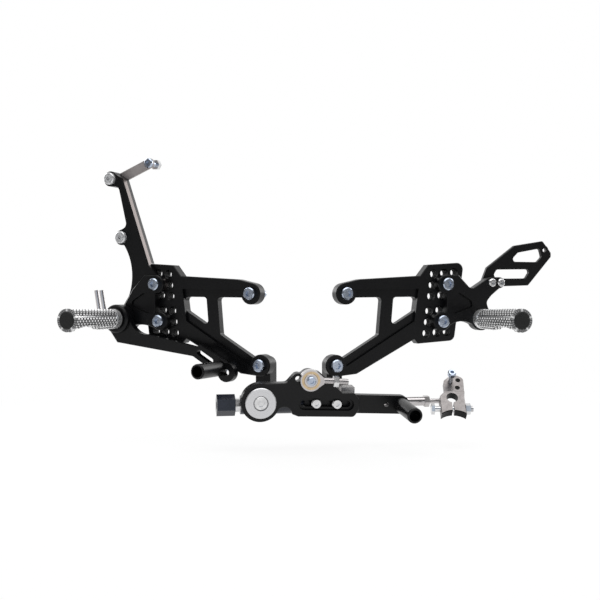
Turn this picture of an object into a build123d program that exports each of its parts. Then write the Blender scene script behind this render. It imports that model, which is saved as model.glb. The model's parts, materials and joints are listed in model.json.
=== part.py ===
from build123d import *
import os
from math import acos, atan, atan2, cos, degrees, hypot, radians, sin

# Adjustable rear set kit for a motorcycle: a brake side set, a gear side set, the gear lever,
# the shift rod and the clamp arm of the shift shaft. Millimetres, Z up.
# The origin is the upper frame bolt of the gear side set, on the back face of its bracket.
# A set is drawn on its own plane: along is rearwards, up is up, out is away from the motorcycle.

# Layout of the kit
set_yaw = 21.0
set_spacing = 91.2
lever_place = (-79.9, -61.9, -107.8)
lever_yaw = 13.0
lever_pitch = 6.0
clamp_place = (113.0, -11.8, -106.8)
clamp_yaw = 3.0
clamp_lean = 42.0

# Clearances
bolt_clearance = 0.25
thread_clearance = 0.1
running_clearance = 0.05
side_gap = 0.3

# Button head bolts of three sizes, and nuts
m8_shank = 8.0
m8_head = 13.0
m8_head_height = 5.0
m8_socket = 6.0
m8_nut = 13.0
m8_nut_height = 5.5
m6_shank = 6.0
m6_head = 10.5
m6_head_height = 3.4
m6_socket = 4.0
m6_nut = 10.0
m6_nut_height = 5.0
m5_shank = 5.0
m5_head = 8.6
m5_head_height = 4.6
m5_socket = 3.8
head_edge = 1.0
thread_step = 0.1

# Bracket: two lugs, two arms, a strut and the plate with the adjuster holes
bracket_thick = 12.0
recess_depth = 3.5
lug_radius = 11.3
lug_drop = 74.4
lug_lead = 11.3
arm_shoulder = 16.0
arm_ledge = 8.5
upper_arm_angle = 3.5
upper_arm_top = 14.2
upper_arm_under = 4.2
upper_inner_angle = 0.8
lower_arm_angle = 28.2
lower_arm_top = 1.6
lower_arm_under = 18.8
lower_inner_angle = 31.0
strut_reach = 48.0
strut_width = 13.5
strut_lean = 5.0
plate_reach = 107.7
plate_drop = 9.5
hole_pitch = 12.0
group_spacing = 40.0
row_slope = 4.0
column_lean = 8.0
adjuster_hole = 8.4
adjuster_bevel = 0.6
plate_margin = 10.5
plate_front_margin = 16.0
plate_corner = 7.0
plate_bevel = 8.0
plate_ramp = 11.5
inner_corner = 3.5
edge_break = 0.7

# Legs that take the lower lugs down to the frame
leg_thick = 15.0
leg_width = 17.0
leg_set_back = 2.5
leg_hole_drop = 22.0
frame_bolt_reach = 18.0
frame_bolt_waist = 7.0
thread_run_out = 0.5

# Peg carriers
carrier_thick = 10.0
ear_radius = 10.0
boss_radius = 12.2
peg_reach = 152.0
peg_drop = 27.0
pocket_depth = 2.0
web_corner = 6.0
gear_arch_rise = 7.7
brake_arch_rise = 3.7
pocket_profile = [(0.135, 3.4), (0.384, 17.7), (0.725, 14.7), (0.752, 9.1), (0.248, -7.7)]

# Foot pegs
peg_length = 80.0
peg_base = 21.4
peg_base_length = 7.0
peg_root = 19.6
peg_tip = 22.4
peg_lip = 23.6
peg_lip_length = 3.0
peg_bore = 14.0
peg_thread_length = 24.0
scallop_radius = 52.0
scallop_depth = 5.6
scallop_place = 52.0
cap_diameter = 18.0
cap_height = 2.6
cap_proud = 1.0
cap_stem_length = 8.0

# Heel guard on the gear side carrier
guard_thick = 4.0
guard_screw_spacing = 10.6
guard_screw_reach = 11.3
guard_screw_rise = 39.2
guard_arm_radius = 6.0
guard_hole = 4.6
guard_hole_place = (73.0, 36.8)
guard_corner = 2.5
window_corner = 3.0
guard_profile = [
    (-6.0, 0.0),
    (1.0, 16.6),
    (35.0, 41.2),
    (71.0, 47.0),
    (81.6, 34.2),
    (81.6, 29.5),
    (52.4, -2.6),
    (20.0, -3.7),
    (2.0, -5.8),
]
upper_window = [(28.6, 23.4), (39.2, 33.5), (67.0, 38.6), (69.5, 29.0), (63.6, 23.4)]
lower_window = [(8.6, 8.4), (12.6, 14.6), (55.9, 15.4), (49.0, 5.2), (12.6, 4.6)]

# Brake pedal, on a bush under the foot peg
pedal_boss_radius = 15.5
pedal_boss_thick = 14.0
pedal_arm_thick = 8.0
pedal_arm_step = 2.0
pedal_bush = 18.0
peg_washer_thick = 1.6
pedal_heel_drop = 25.5
pedal_crotch_bearing = 175.0
pedal_back_bearing = -40.0
toe_reach = 126.0
toe_drop = 50.5
toe_hook_radius = 9.9
toe_hook_hole = 7.0
toe_hook_lead = 8.2
toe_bar_angle = 31.0
toe_bar_top = 9.2
toe_bar_under = 5.6
toe_bar_length = 33.0
toe_bar_step = 4.0
toe_slot_width = 5.6
toe_slot_length = 22.0
toe_slot_start = 9.5
toe_peg_diameter = 15.4
toe_peg_length = 44.0
toe_peg_bevel = 1.0
toe_peg_bore = 11.4
toe_peg_floor = 3.0
stud_diameter = 4.6
stud_spacing = 7.0
stud_reach = 20.8
stud_height = 37.0
stud_tilt = 8.5

# Arm for the brake master cylinder and stay for its reservoir
cylinder_arm_thick = 13.0
cylinder_foot_thick = 6.0
cylinder_eye_radius = 8.4
cylinder_bolt_spacing = 67.3
cylinder_bolt_lean = 13.0
cylinder_eye_rise = 89.5
cylinder_bolt_head = 13.4
cylinder_head_height = 4.2
stay_thick = 2.0
stay_width = 11.0
stay_length = 45.7
stay_slope = 21.2
stay_screw_length = 17.0

# Gear lever
lever_thick = 10.0
lever_boss_radius = 19.3
lever_length = 99.8
scallop_bearing = 32.0
boss_leave_bearing = 81.0
lever_droop = 2.2
lever_slot_start = 44.0
lever_slot_drop = 2.1
lever_slot_length = 44.5
lever_slot_width = 12.0
lever_slot_depth = 4.0
tab_reach = 37.0
tab_rise = 23.4
tab_radius = 5.6
tab_hole = 5.5
eye_reach = 48.2
eye_lobe_reach = 11.0
eye_lobe_rise = 6.0
pivot_bush_diameter = 14.0
pivot_flange = 22.0
pivot_flange_thick = 2.0
pivot_disc_diameter = 30.6
pivot_disc_thick = 3.2
pivot_head = 14.6
pivot_head_height = 2.2
pivot_tail = 5.5
toe_arm_thick = 8.0
toe_arm_height = 18.8
toe_arm_offset = 1.1
toe_arm_length = 102.0
toe_arm_hole = 5.0
toe_arm_hole_lead = 15.0
toe_arm_screw_spacing = 21.2
toe_arm_screw_start = 12.5
gear_toe_length = 50.0

# Rod end on the lever
rod_end_eye = 21.2
rod_end_thick = 8.0
rod_end_race = 18.4
rod_end_ball = 15.8
rod_end_neck = 13.5
rod_end_ball_width = 9.0
rod_end_spacer_thick = 2.5
rod_end_spacer = 9.0
rod_end_shank = 5.8
rod_end_length = 38.0
rod_end_droop = 3.8
rod_end_nut_place = 23.0

# Shift rod behind the lever
rod_back = 29.0
rod_drop = 8.0
coupler_hex = 19.0
coupler_hex_length = 18.5
coupler_turn = 18.0
coupler_tap_depth = 15.0
coupler_start = -41.0
coupler_diameter = 19.2
coupler_length = 103.0
coupler_bore_length = 20.0
shift_rod_diameter = 9.5
shift_rod_length = 134.5
stud_collar_thick = 5.0
stud_collar_across = 11.0
rod_stud_diameter = 5.0
rod_stud_waist = 4.2
rod_stud_length = 20.0
rod_stud_hold = 12.0
guide_width = 14.0
guide_height = 28.0
guide_thick = 14.0
guide_reach = 93.0
guide_hang = 3.5

# Clamp arm for the shift shaft
clamp_thick = 9.5
clamp_bore = 11.6
clamp_half_width = 12.8
clamp_jaw_drop = 20.3
clamp_arch_rise = 4.4
clamp_slit = 2.0
clamp_tab_height = 31.3
clamp_tab_hole = 5.0
clamp_tab_step = 3.0
clamp_corner = 5.0
pinch_drop = 10.9
pinch_overhang = 6.0
pinch_tail = 8.0
link_bolt_stand = 8.5


def shifted(point, along, up):
    """A point of a set's plane, moved along and up."""
    return (point[0] + along, point[1] + up)


def polar(point, distance, angle):
    """A point at a distance and angle from another one."""
    return shifted(point, distance * cos(radians(angle)), distance * sin(radians(angle)))


def turned(point, along, across, angle):
    """A point given along and across a line that leaves another point at an angle."""
    return polar(polar(point, along, angle), across, angle + 90)


def between(first, second, share, up):
    """A point at a share of the way between two points, raised above the line that joins them."""
    along = (second[0] - first[0]) * share
    rise = (second[1] - first[1]) * share
    return shifted(first, along, rise + up)


def crossing(first, first_angle, second, second_angle):
    """Where two lines cross, each one given by a point and an angle."""
    along = (second[0] - first[0]) * sin(radians(second_angle))
    across = (second[1] - first[1]) * cos(radians(second_angle))
    return polar(first, (along - across) / sin(radians(second_angle - first_angle)), first_angle)


def touching(centre, radius, point, side):
    """Where a straight edge from the point touches a circle; side 1 or -1 picks which one."""
    away = hypot(point[0] - centre[0], point[1] - centre[1])
    bearing = degrees(atan2(point[1] - centre[1], point[0] - centre[0]))
    return polar(centre, radius, bearing + side * degrees(acos(radius / away)))


def side_plane(yaw, pitch, place=(0, 0, 0)):
    """The plane of a plate that stands up, turned by its yaw, facing down by its pitch."""
    level = Vector(sin(radians(yaw)), -cos(radians(yaw)), 0) * cos(radians(pitch))
    return Plane(
        origin=place,
        x_dir=(cos(radians(yaw)), sin(radians(yaw)), 0),
        z_dir=level - Vector(0, 0, sin(radians(pitch))),
    )


def facing_along(plane, along, up, out):
    """A plane across the first direction of another plane, at a point of it."""
    return Plane(
        origin=plane.from_local_coords((along, up, out)),
        x_dir=plane.z_dir,
        z_dir=plane.x_dir,
    )


def keep(piece, name):
    """Label a finished piece and write its file."""
    piece.label = name
    export_step(piece, f"parts/{name}.step")


def keep_other_hand(piece, name):
    """Write the mirror image of a piece, for the set on the other side."""
    with BuildPart() as other_hand:
        mirror(piece, about=MIDDLE)
    keep(other_hand.part, name)


def bolts(seat, spots, length, shank, head, head_height, socket):
    """Equal bolts: their heads stand on the seat plane and their shanks go in behind it."""
    with BuildPart() as group:
        with BuildSketch(seat):
            with Locations(*spots):
                Circle(head / 2)
        extrude(amount=head_height)
        rims = group.edges().sort_by(Axis(seat.origin, seat.z_dir))[-len(spots):]
        chamfer(rims, length=head_edge)
        with BuildSketch(seat):
            with Locations(*spots):
                Circle(shank / 2)
        extrude(amount=-length)
        with BuildSketch(seat.offset(head_height)):
            with Locations(*spots):
                RegularPolygon(socket / 2, side_count=6, major_radius=False)
        extrude(amount=-head_height / 2, mode=Mode.SUBTRACT)
    return group.part


def nut(seat, spot, across, height, bore):
    """A hexagon nut that stands on the seat plane."""
    with BuildPart() as hexagon:
        with BuildSketch(seat):
            with Locations(spot):
                RegularPolygon(across / 2, side_count=6, major_radius=False)
                Circle(bore / 2, mode=Mode.SUBTRACT)
        extrude(amount=height)
    return hexagon.part


def corner_near(sketch, point):
    """The corner of a sketch that is nearest to a point."""
    return sketch.vertices().sort_by_distance((*point, 0))[0]


def front_edges(piece, plane):
    """The outer edges of the face that stands furthest out."""
    face = piece.faces().sort_by(Axis(plane.origin, plane.z_dir))[-1]
    return face.outer_wire().edges()


def rounded(corners, radius):
    """A straight sided shape with rounded corners, as a sketch in the set's plane."""
    with BuildSketch(mode=Mode.PRIVATE) as shape:
        Polygon(*corners, align=None)
        fillet(shape.vertices(), radius=radius)
    return shape.sketch


os.makedirs("parts", exist_ok=True)

GEAR_SET = side_plane(set_yaw, 0)
MIDDLE = Plane.YZ.offset(-set_spacing / 2)
GEAR_LEVER = side_plane(lever_yaw, lever_pitch, lever_place)
SHIFT_CLAMP = side_plane(clamp_yaw, -clamp_lean, clamp_place)

bracket_front = GEAR_SET.offset(bracket_thick)
carrier_out = bracket_thick + carrier_thick
carrier_front = GEAR_SET.offset(carrier_out)

upper_lug = (0, 0)
lower_lug = (-lug_lead, -lug_drop)
plate_centre = (plate_reach, -plate_drop)
column_angle = 90 - column_lean
upper_ear = polar(plate_centre, group_spacing / 2, column_angle)
lower_ear = polar(plate_centre, -group_spacing / 2, column_angle)
peg_axis = (peg_reach, -peg_drop)
m8_hole = m8_shank / 2 + bolt_clearance
m6_hole = m6_shank / 2 + bolt_clearance
m5_hole = m5_shank / 2 + bolt_clearance
m6_tapped = m6_shank / 2 + thread_clearance
m8_tapped = m8_shank / 2 + thread_clearance

# Bracket
# The plate is a parallelogram that follows the rows and columns of its holes.
plate_half_height = group_spacing / 2 + hole_pitch + plate_margin


def plate_corner_at(row_side, column_side):
    """One corner of the adjuster plate; the front margin is wider than the others."""
    half_row = hole_pitch + (plate_margin if row_side > 0 else plate_front_margin)
    middle = polar(plate_centre, column_side * plate_half_height, column_angle)
    return polar(middle, row_side * half_row, row_slope)


def bracket_arm(lug, outer, outer_angle, inner, inner_angle, reach):
    """The outline of an arm: from the lug, over its shoulder, to the end inside the plate."""
    shoulder = turned(lug, arm_shoulder, outer, outer_angle)
    side = 1 if outer > 0 else -1
    return [
        touching(lug, lug_radius, shoulder, side),
        shoulder,
        turned(lug, reach, outer, outer_angle),
        turned(lug, reach, inner, inner_angle),
        turned(lug, 0, inner, inner_angle),
    ]


upper_arm_reach = plate_reach - hole_pitch
lower_arm_reach = (plate_reach + lug_lead) / cos(radians(lower_inner_angle)) - 2 * hole_pitch
upper_arm = bracket_arm(
    upper_lug, upper_arm_top, upper_arm_angle, -upper_arm_under, upper_inner_angle, upper_arm_reach
)
lower_arm = bracket_arm(
    lower_lug, -lower_arm_under, lower_arm_angle, lower_arm_top, lower_inner_angle, lower_arm_reach
)
front_edge_top = plate_corner_at(-1, 1)
front_edge_bottom = plate_corner_at(-1, -1)
upper_edge = (turned(upper_lug, 0, -upper_arm_under, upper_inner_angle), upper_inner_angle)
lower_edge = (turned(lower_lug, 0, lower_arm_top, lower_inner_angle), lower_inner_angle)


def truss_corners(place, angle):
    """Where a line across the truss meets the inner edges of the upper and the lower arm."""
    return crossing(*upper_edge, place, angle), crossing(*lower_edge, place, angle)


strut_angle = 90 - strut_lean
mouth_top, mouth_bottom = truss_corners((strut_reach - 2 * strut_width, 0), strut_angle)
web_top, web_bottom = truss_corners((strut_reach - strut_width, 0), strut_angle)
strut_top, strut_bottom = truss_corners((strut_reach - strut_width / 2, 0), strut_angle)
window_top, window_bottom = truss_corners((strut_reach + strut_width / 2, 0), strut_angle)
end_top, end_bottom = truss_corners(front_edge_top, column_angle)
truss_web = [web_top, end_top, end_bottom, web_bottom]
truss_mouth = [mouth_top, strut_top, strut_bottom, mouth_bottom]
truss_window = [window_top, end_top, end_bottom, window_bottom]
plate_block = [front_edge_top, plate_corner_at(1, 1), plate_corner_at(1, -1), front_edge_bottom]
plate_outline = [
    polar(front_edge_top, -plate_ramp, column_angle),
    polar(front_edge_top, plate_bevel, row_slope),
    plate_corner_at(1, 1),
    plate_corner_at(1, -1),
    polar(front_edge_bottom, plate_bevel, row_slope),
    polar(front_edge_bottom, plate_bevel, column_angle),
]
upper_ledge = arm_ledge - upper_arm_under
lower_ledge = lower_arm_top - arm_ledge
recess = [
    turned(upper_lug, 0, upper_ledge, upper_inner_angle),
    turned(upper_lug, plate_reach, upper_ledge, upper_inner_angle),
    turned(lower_lug, lower_arm_reach, lower_ledge, lower_inner_angle),
    turned(lower_lug, 0, lower_ledge, lower_inner_angle),
]
adjuster_spots = [
    turned(polar(group, row * hole_pitch, column_angle), column * hole_pitch, 0, row_slope)
    for group in (upper_ear, lower_ear)
    for row in (-1, 0, 1)
    for column in (-1, 0, 1)
]

with BuildPart() as bracket:
    with BuildSketch(GEAR_SET):
        with BuildSketch(mode=Mode.PRIVATE) as plate:
            Polygon(*plate_outline, align=None)
            fillet(plate.vertices().sort_by(Axis.X)[-2:], radius=plate_corner)
        add(plate.sketch)
        for outline in (upper_arm, lower_arm, truss_web):
            Polygon(*outline, align=None)
        for opening in (truss_mouth, truss_window):
            add(rounded(opening, inner_corner), mode=Mode.SUBTRACT)
        for lug in (upper_lug, lower_lug):
            with Locations(lug):
                Circle(lug_radius)
    extrude(amount=bracket_thick)
    chamfer(front_edges(bracket, GEAR_SET), length=edge_break)
    with BuildSketch(bracket_front):
        Polygon(*recess, align=None)
        Polygon(*plate_block, align=None, mode=Mode.SUBTRACT)
        for lug in (upper_lug, lower_lug):
            with Locations(lug):
                Circle(lug_radius, mode=Mode.SUBTRACT)
    extrude(amount=-recess_depth, mode=Mode.SUBTRACT)
    with BuildSketch(bracket_front):
        with Locations(upper_lug, lower_lug):
            Circle(m8_hole)
        with Locations(*adjuster_spots):
            Circle(adjuster_hole / 2)
    extrude(amount=-bracket_thick, mode=Mode.SUBTRACT)
    front_rims = bracket.edges().group_by(Axis(GEAR_SET.origin, GEAR_SET.z_dir))[-1]
    small_rims = front_rims.filter_by(GeomType.CIRCLE).filter_by(lambda rim: rim.radius < adjuster_hole)
    chamfer(small_rims.filter_by(lambda rim: rim.is_closed), length=adjuster_bevel)
keep(bracket.part, "gear_bracket")
keep_other_hand(bracket.part, "brake_bracket")

# Leg behind the lower lug, with a second hole for the frame
leg_top = shifted(lower_lug, leg_set_back, 0)
with BuildPart() as leg:
    with BuildSketch(GEAR_SET):
        with Locations(shifted(leg_top, 0, -leg_hole_drop / 2)):
            SlotCenterToCenter(leg_hole_drop, leg_width, rotation=90)
    extrude(amount=-leg_thick)
    with BuildSketch(GEAR_SET):
        with Locations(lower_lug):
            Circle(m8_tapped)
        with Locations(shifted(leg_top, 0, -leg_hole_drop)):
            Circle(m8_hole)
    extrude(amount=-leg_thick, mode=Mode.SUBTRACT)
keep(leg.part, "gear_frame_leg")
keep_other_hand(leg.part, "brake_frame_leg")

# Frame bolts; the upper one is waisted in the bracket and has its threaded end behind it
upper_frame_bolt = bolts(
    bracket_front,
    [upper_lug],
    bracket_thick + thread_run_out,
    frame_bolt_waist,
    m8_head,
    m8_head_height,
    m8_socket,
)
with BuildPart() as threaded_bolt:
    add(upper_frame_bolt)
    with BuildSketch(GEAR_SET.offset(-thread_run_out)):
        with Locations(upper_lug):
            Circle(m8_shank / 2)
    extrude(amount=-frame_bolt_reach)
keep(threaded_bolt.part, "gear_upper_frame_bolt")
keep_other_hand(threaded_bolt.part, "brake_upper_frame_bolt")

lower_frame_bolt = bolts(
    bracket_front,
    [lower_lug],
    bracket_thick + leg_thick - edge_break,
    m8_shank,
    m8_head,
    m8_head_height,
    m8_socket,
)
keep(lower_frame_bolt, "gear_lower_frame_bolt")
keep_other_hand(lower_frame_bolt, "brake_lower_frame_bolt")

carrier_bolts = bolts(
    carrier_front,
    [upper_ear, lower_ear],
    carrier_out - edge_break,
    m8_shank,
    m8_head,
    m8_head_height,
    m8_socket,
)
keep(carrier_bolts, "gear_carrier_bolts")
keep_other_hand(carrier_bolts, "brake_carrier_bolts")

# Peg carriers
# Both carriers share the web between the two ears and the boss of the foot peg.
ear_crown = shifted(upper_ear, 0, ear_radius)
ear_shoulder = shifted(upper_ear, 1.4 * ear_radius, ear_radius)
boss_shoulder = shifted(peg_axis, -boss_radius, 2.6 * boss_radius)
arch_end = shifted(lower_ear, 0.5 * ear_radius, -0.8 * ear_radius)
arch_start = shifted(peg_axis, -0.45 * boss_radius, -0.8 * boss_radius)
web_front = shifted(lower_ear, 0.6 * ear_radius, 0)
pocket = [between(plate_centre, peg_axis, *place) for place in pocket_profile]


def carrier_web(boss_top, arch_rise, bends):
    """The web of a carrier as a sketch; boss_top leads down to the boss, and its bends are rounded."""
    arch_crown = between(arch_end, arch_start, 0.5, arch_rise)
    with BuildSketch(mode=Mode.PRIVATE) as web:
        with BuildLine():
            Polyline(arch_end, web_front, upper_ear, ear_crown, ear_shoulder, *boss_top, arch_start)
            ThreePointArc(arch_start, arch_crown, arch_end)
        make_face()
        with Locations(upper_ear, lower_ear):
            Circle(ear_radius)
        with Locations(peg_axis):
            Circle(boss_radius)
        fillet([corner_near(web, bend) for bend in bends], radius=web_corner)
    return web.sketch


guard_screws = [
    shifted(peg_axis, guard_screw_reach, guard_screw_rise),
    shifted(peg_axis, guard_screw_reach + guard_screw_spacing, guard_screw_rise),
]
guard_notch = shifted(peg_axis, 0.47 * boss_radius, 1.5 * boss_radius)
guard_arm = [
    boss_shoulder,
    touching(guard_screws[0], guard_arm_radius, boss_shoulder, -1),
    shifted(guard_screws[1], 0, -guard_arm_radius),
    shifted(peg_axis, boss_radius, 2.1 * boss_radius),
    guard_notch,
    touching(peg_axis, boss_radius, guard_notch, -1),
]

with BuildPart() as gear_carrier:
    with BuildSketch(bracket_front):
        add(carrier_web(guard_arm, gear_arch_rise, [boss_shoulder, guard_notch]))
        with Locations(shifted(guard_screws[0], guard_screw_spacing / 2, 0)):
            SlotCenterToCenter(guard_screw_spacing, 2 * guard_arm_radius)
    extrude(amount=carrier_thick)
    chamfer(front_edges(gear_carrier, GEAR_SET), length=edge_break)
    with BuildSketch(carrier_front):
        add(rounded(pocket, inner_corner / 2))
    extrude(amount=-pocket_depth, mode=Mode.SUBTRACT)
    with BuildSketch(carrier_front):
        with Locations(upper_ear, lower_ear, peg_axis):
            Circle(m8_hole)
        with Locations(*guard_screws):
            Circle(m5_hole)
    extrude(amount=-carrier_thick, mode=Mode.SUBTRACT)
keep(gear_carrier.part, "gear_peg_carrier")

# Heel guard, behind the arm of the gear side carrier
guard_foot = guard_screws[0]
guard_hole_spot = shifted(guard_foot, *guard_hole_place)


def from_foot(places):
    """Corners of the heel guard, from places measured from its first screw."""
    return [shifted(guard_foot, *place) for place in places]


with BuildPart() as heel_guard:
    with BuildSketch(bracket_front):
        add(rounded(from_foot(guard_profile), guard_corner))
        for window in (upper_window, lower_window):
            add(rounded(from_foot(window), window_corner), mode=Mode.SUBTRACT)
        with Locations(guard_hole_spot):
            Circle(1.2 * guard_hole)
            Circle(guard_hole / 2, mode=Mode.SUBTRACT)
        with Locations(*guard_screws):
            Circle(m5_shank / 2 + thread_clearance, mode=Mode.SUBTRACT)
    extrude(amount=-guard_thick)
    chamfer(front_edges(heel_guard, GEAR_SET), length=edge_break)
keep(heel_guard.part, "heel_guard")
guard_screw_set = bolts(
    carrier_front,
    guard_screws,
    carrier_thick + guard_thick,
    m5_shank,
    m5_head,
    m5_head_height,
    m5_socket,
)
keep(guard_screw_set, "heel_guard_screws")

# Foot pegs: a turned bar with a scalloped underside, a black end cap and a bolt inside


def foot_peg(seat_out):
    """A foot peg whose base stands at a distance outside the bracket's back face."""
    base = GEAR_SET.offset(seat_out)
    flare = degrees(atan((peg_tip - peg_root) / 2 / (peg_length - peg_base_length)))
    with BuildPart() as peg:
        with BuildSketch(base):
            with Locations(peg_axis):
                Circle(peg_base / 2)
        extrude(amount=peg_base_length)
        with BuildSketch(base.offset(peg_base_length)):
            with Locations(peg_axis):
                Circle(peg_root / 2)
        extrude(amount=peg_length - peg_base_length, taper=-flare)
        side = Plane(
            origin=base.from_local_coords((*peg_axis, 0)), x_dir=base.z_dir, z_dir=-base.x_dir
        )
        scallop_drop = (peg_root + peg_tip) / 4 - scallop_depth + scallop_radius
        with BuildSketch(side):
            with Locations((scallop_place, -scallop_drop)):
                Circle(scallop_radius)
        extrude(amount=peg_lip, both=True, mode=Mode.SUBTRACT)
        with BuildSketch(base.offset(peg_length - peg_lip_length)):
            with Locations(peg_axis):
                Circle(peg_lip / 2)
        extrude(amount=peg_lip_length)
        with BuildSketch(base.offset(peg_length)):
            with Locations(peg_axis):
                Circle(peg_bore / 2)
        extrude(amount=-(cap_height - cap_proud + cap_stem_length), mode=Mode.SUBTRACT)
        with BuildSketch(base.offset(peg_length)):
            with Locations(peg_axis):
                Circle(cap_diameter / 2 + thread_clearance)
        extrude(amount=-(cap_height - cap_proud), mode=Mode.SUBTRACT)
        with BuildSketch(base):
            with Locations(peg_axis):
                Circle(m8_tapped)
        extrude(amount=peg_thread_length, mode=Mode.SUBTRACT)
    return peg.part


def peg_cap(seat_out):
    """The cap that closes the bore at the end of a foot peg."""
    mouth = GEAR_SET.offset(seat_out + peg_length - cap_height + cap_proud)
    with BuildPart() as cap:
        with BuildSketch(mouth):
            with Locations(peg_axis):
                Circle(cap_diameter / 2)
        extrude(amount=cap_height)
        chamfer(cap.edges().sort_by(Axis(mouth.origin, mouth.z_dir))[-1], length=cap_proud)
        with BuildSketch(mouth):
            with Locations(peg_axis):
                Circle(peg_bore / 2 - thread_clearance)
        extrude(amount=-cap_stem_length)
    return cap.part


def from_behind(seat):
    """The same plane, facing the other way; what was up on it is then down."""
    return Plane(origin=seat.origin, x_dir=seat.x_dir, z_dir=-seat.z_dir)


def peg_bolt(seat_out, back_out):
    """The bolt that comes from behind the carrier into the base of a foot peg."""
    behind = from_behind(GEAR_SET.offset(back_out))
    length = seat_out - back_out + peg_thread_length - edge_break
    spot = (peg_reach, peg_drop)
    return bolts(behind, [spot], length, m8_shank, m8_head, m8_head_height, m8_socket)


keep(foot_peg(carrier_out), "gear_foot_peg")
keep(peg_cap(carrier_out), "gear_peg_cap")
keep(peg_bolt(carrier_out, bracket_thick), "gear_peg_bolt")

pedal_start = carrier_out + side_gap
pedal_end = pedal_start + pedal_boss_thick
bush_end = pedal_end + side_gap
brake_peg_seat = bush_end + peg_washer_thick
arm_front_out = bracket_thick + cylinder_foot_thick
arm_back_out = arm_front_out - cylinder_arm_thick

keep_other_hand(foot_peg(brake_peg_seat), "brake_foot_peg")
keep_other_hand(peg_cap(brake_peg_seat), "brake_peg_cap")
keep_other_hand(peg_bolt(brake_peg_seat, arm_back_out), "brake_peg_bolt")

# Arm for the brake master cylinder, clamped between the bracket and the brake side carrier
# Its foot passes over the adjuster plate, so it is thinner there than above the plate.
lower_eye = shifted(peg_axis, 0.36 * boss_radius, cylinder_eye_rise)
upper_eye = polar(lower_eye, cylinder_bolt_spacing, 90 - cylinder_bolt_lean)
arm_corner = shifted(upper_eye, -1.85 * cylinder_eye_radius, 0)
arm_heel = shifted(upper_ear, 1.1 * ear_radius, 2.1 * ear_radius)
arm_waist = shifted(lower_eye, -0.8 * cylinder_eye_radius, 1.4 * cylinder_eye_radius)
arm_neck = shifted(upper_eye, -1.3 * cylinder_eye_radius, -1.1 * cylinder_eye_radius)
arm_left_edge = [
    lower_eye,
    touching(lower_eye, cylinder_eye_radius, arm_waist, -1),
    arm_waist,
    arm_neck,
    touching(upper_eye, cylinder_eye_radius, arm_neck, 1),
    upper_eye,
]
arm_back_low = shifted(peg_axis, -0.4 * boss_radius, 2.0 * boss_radius)
arm_back_mid = shifted(peg_axis, -0.75 * boss_radius, 4.3 * boss_radius)
arm_back_high = shifted(lower_eye, -0.3 * cylinder_eye_radius, -0.9 * cylinder_eye_radius)
arm_outline = [
    shifted(upper_eye, 0, cylinder_eye_radius),
    arm_corner,
    arm_heel,
    ear_crown,
    upper_ear,
    peg_axis,
    shifted(peg_axis, 0.3 * boss_radius, boss_radius),
]

with BuildSketch(mode=Mode.PRIVATE) as arm_face:
    with BuildLine():
        Polyline(*arm_outline, arm_back_low)
        ThreePointArc(arm_back_low, arm_back_mid, arm_back_high)
        Polyline(arm_back_high, *arm_left_edge, arm_outline[0])
    make_face()
    with Locations(upper_eye, lower_eye):
        Circle(cylinder_eye_radius)
    with Locations(upper_ear):
        Circle(ear_radius)
    with Locations(peg_axis):
        Circle(boss_radius)
    bends = [corner_near(arm_face, arm_neck), corner_near(arm_face, arm_waist)]
    fillet(bends, radius=0.7 * cylinder_eye_radius)

with BuildPart() as cylinder_arm:
    with BuildSketch(GEAR_SET.offset(arm_back_out)):
        add(arm_face.sketch)
    extrude(amount=cylinder_arm_thick)
    arm_edges = front_edges(cylinder_arm, GEAR_SET).sort_by(SortBy.LENGTH)
    chamfer(arm_edges[-1], length=2 * edge_break)
    with BuildSketch(GEAR_SET.offset(arm_back_out)):
        Polygon(*plate_block, align=None)
        offset(amount=bolt_clearance)
    extrude(amount=cylinder_arm_thick - cylinder_foot_thick, mode=Mode.SUBTRACT)
    with BuildSketch(GEAR_SET.offset(arm_front_out)):
        with Locations(upper_ear, peg_axis):
            Circle(m8_hole)
        with Locations(upper_eye, lower_eye):
            Circle(m6_tapped)
    extrude(amount=-cylinder_arm_thick, mode=Mode.SUBTRACT)
keep_other_hand(cylinder_arm.part, "cylinder_arm")

cylinder_bolts = bolts(
    GEAR_SET.offset(arm_front_out),
    [upper_eye, lower_eye],
    cylinder_arm_thick + stay_thick,
    m6_shank,
    cylinder_bolt_head,
    cylinder_head_height,
    m6_socket,
)
keep_other_hand(cylinder_bolts, "cylinder_bolts")

# Brake side carrier, rebated behind for the foot of the cylinder arm
brake_boss_top = [
    boss_shoulder,
    shifted(peg_axis, 0, boss_radius),
    peg_axis,
]
with BuildPart() as brake_carrier:
    with BuildSketch(bracket_front):
        add(carrier_web(brake_boss_top, brake_arch_rise, [boss_shoulder]))
    extrude(amount=carrier_thick)
    chamfer(front_edges(brake_carrier, GEAR_SET), length=edge_break)
    with BuildSketch(bracket_front):
        add(arm_face.sketch)
        offset(amount=bolt_clearance)
    extrude(amount=cylinder_foot_thick, mode=Mode.SUBTRACT)
    with BuildSketch(carrier_front):
        add(rounded(pocket, inner_corner / 2))
    extrude(amount=-pocket_depth, mode=Mode.SUBTRACT)
    with BuildSketch(carrier_front):
        with Locations(upper_ear, lower_ear, peg_axis):
            Circle(m8_hole)
    extrude(amount=-carrier_thick, mode=Mode.SUBTRACT)
keep_other_hand(brake_carrier.part, "brake_peg_carrier")

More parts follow.
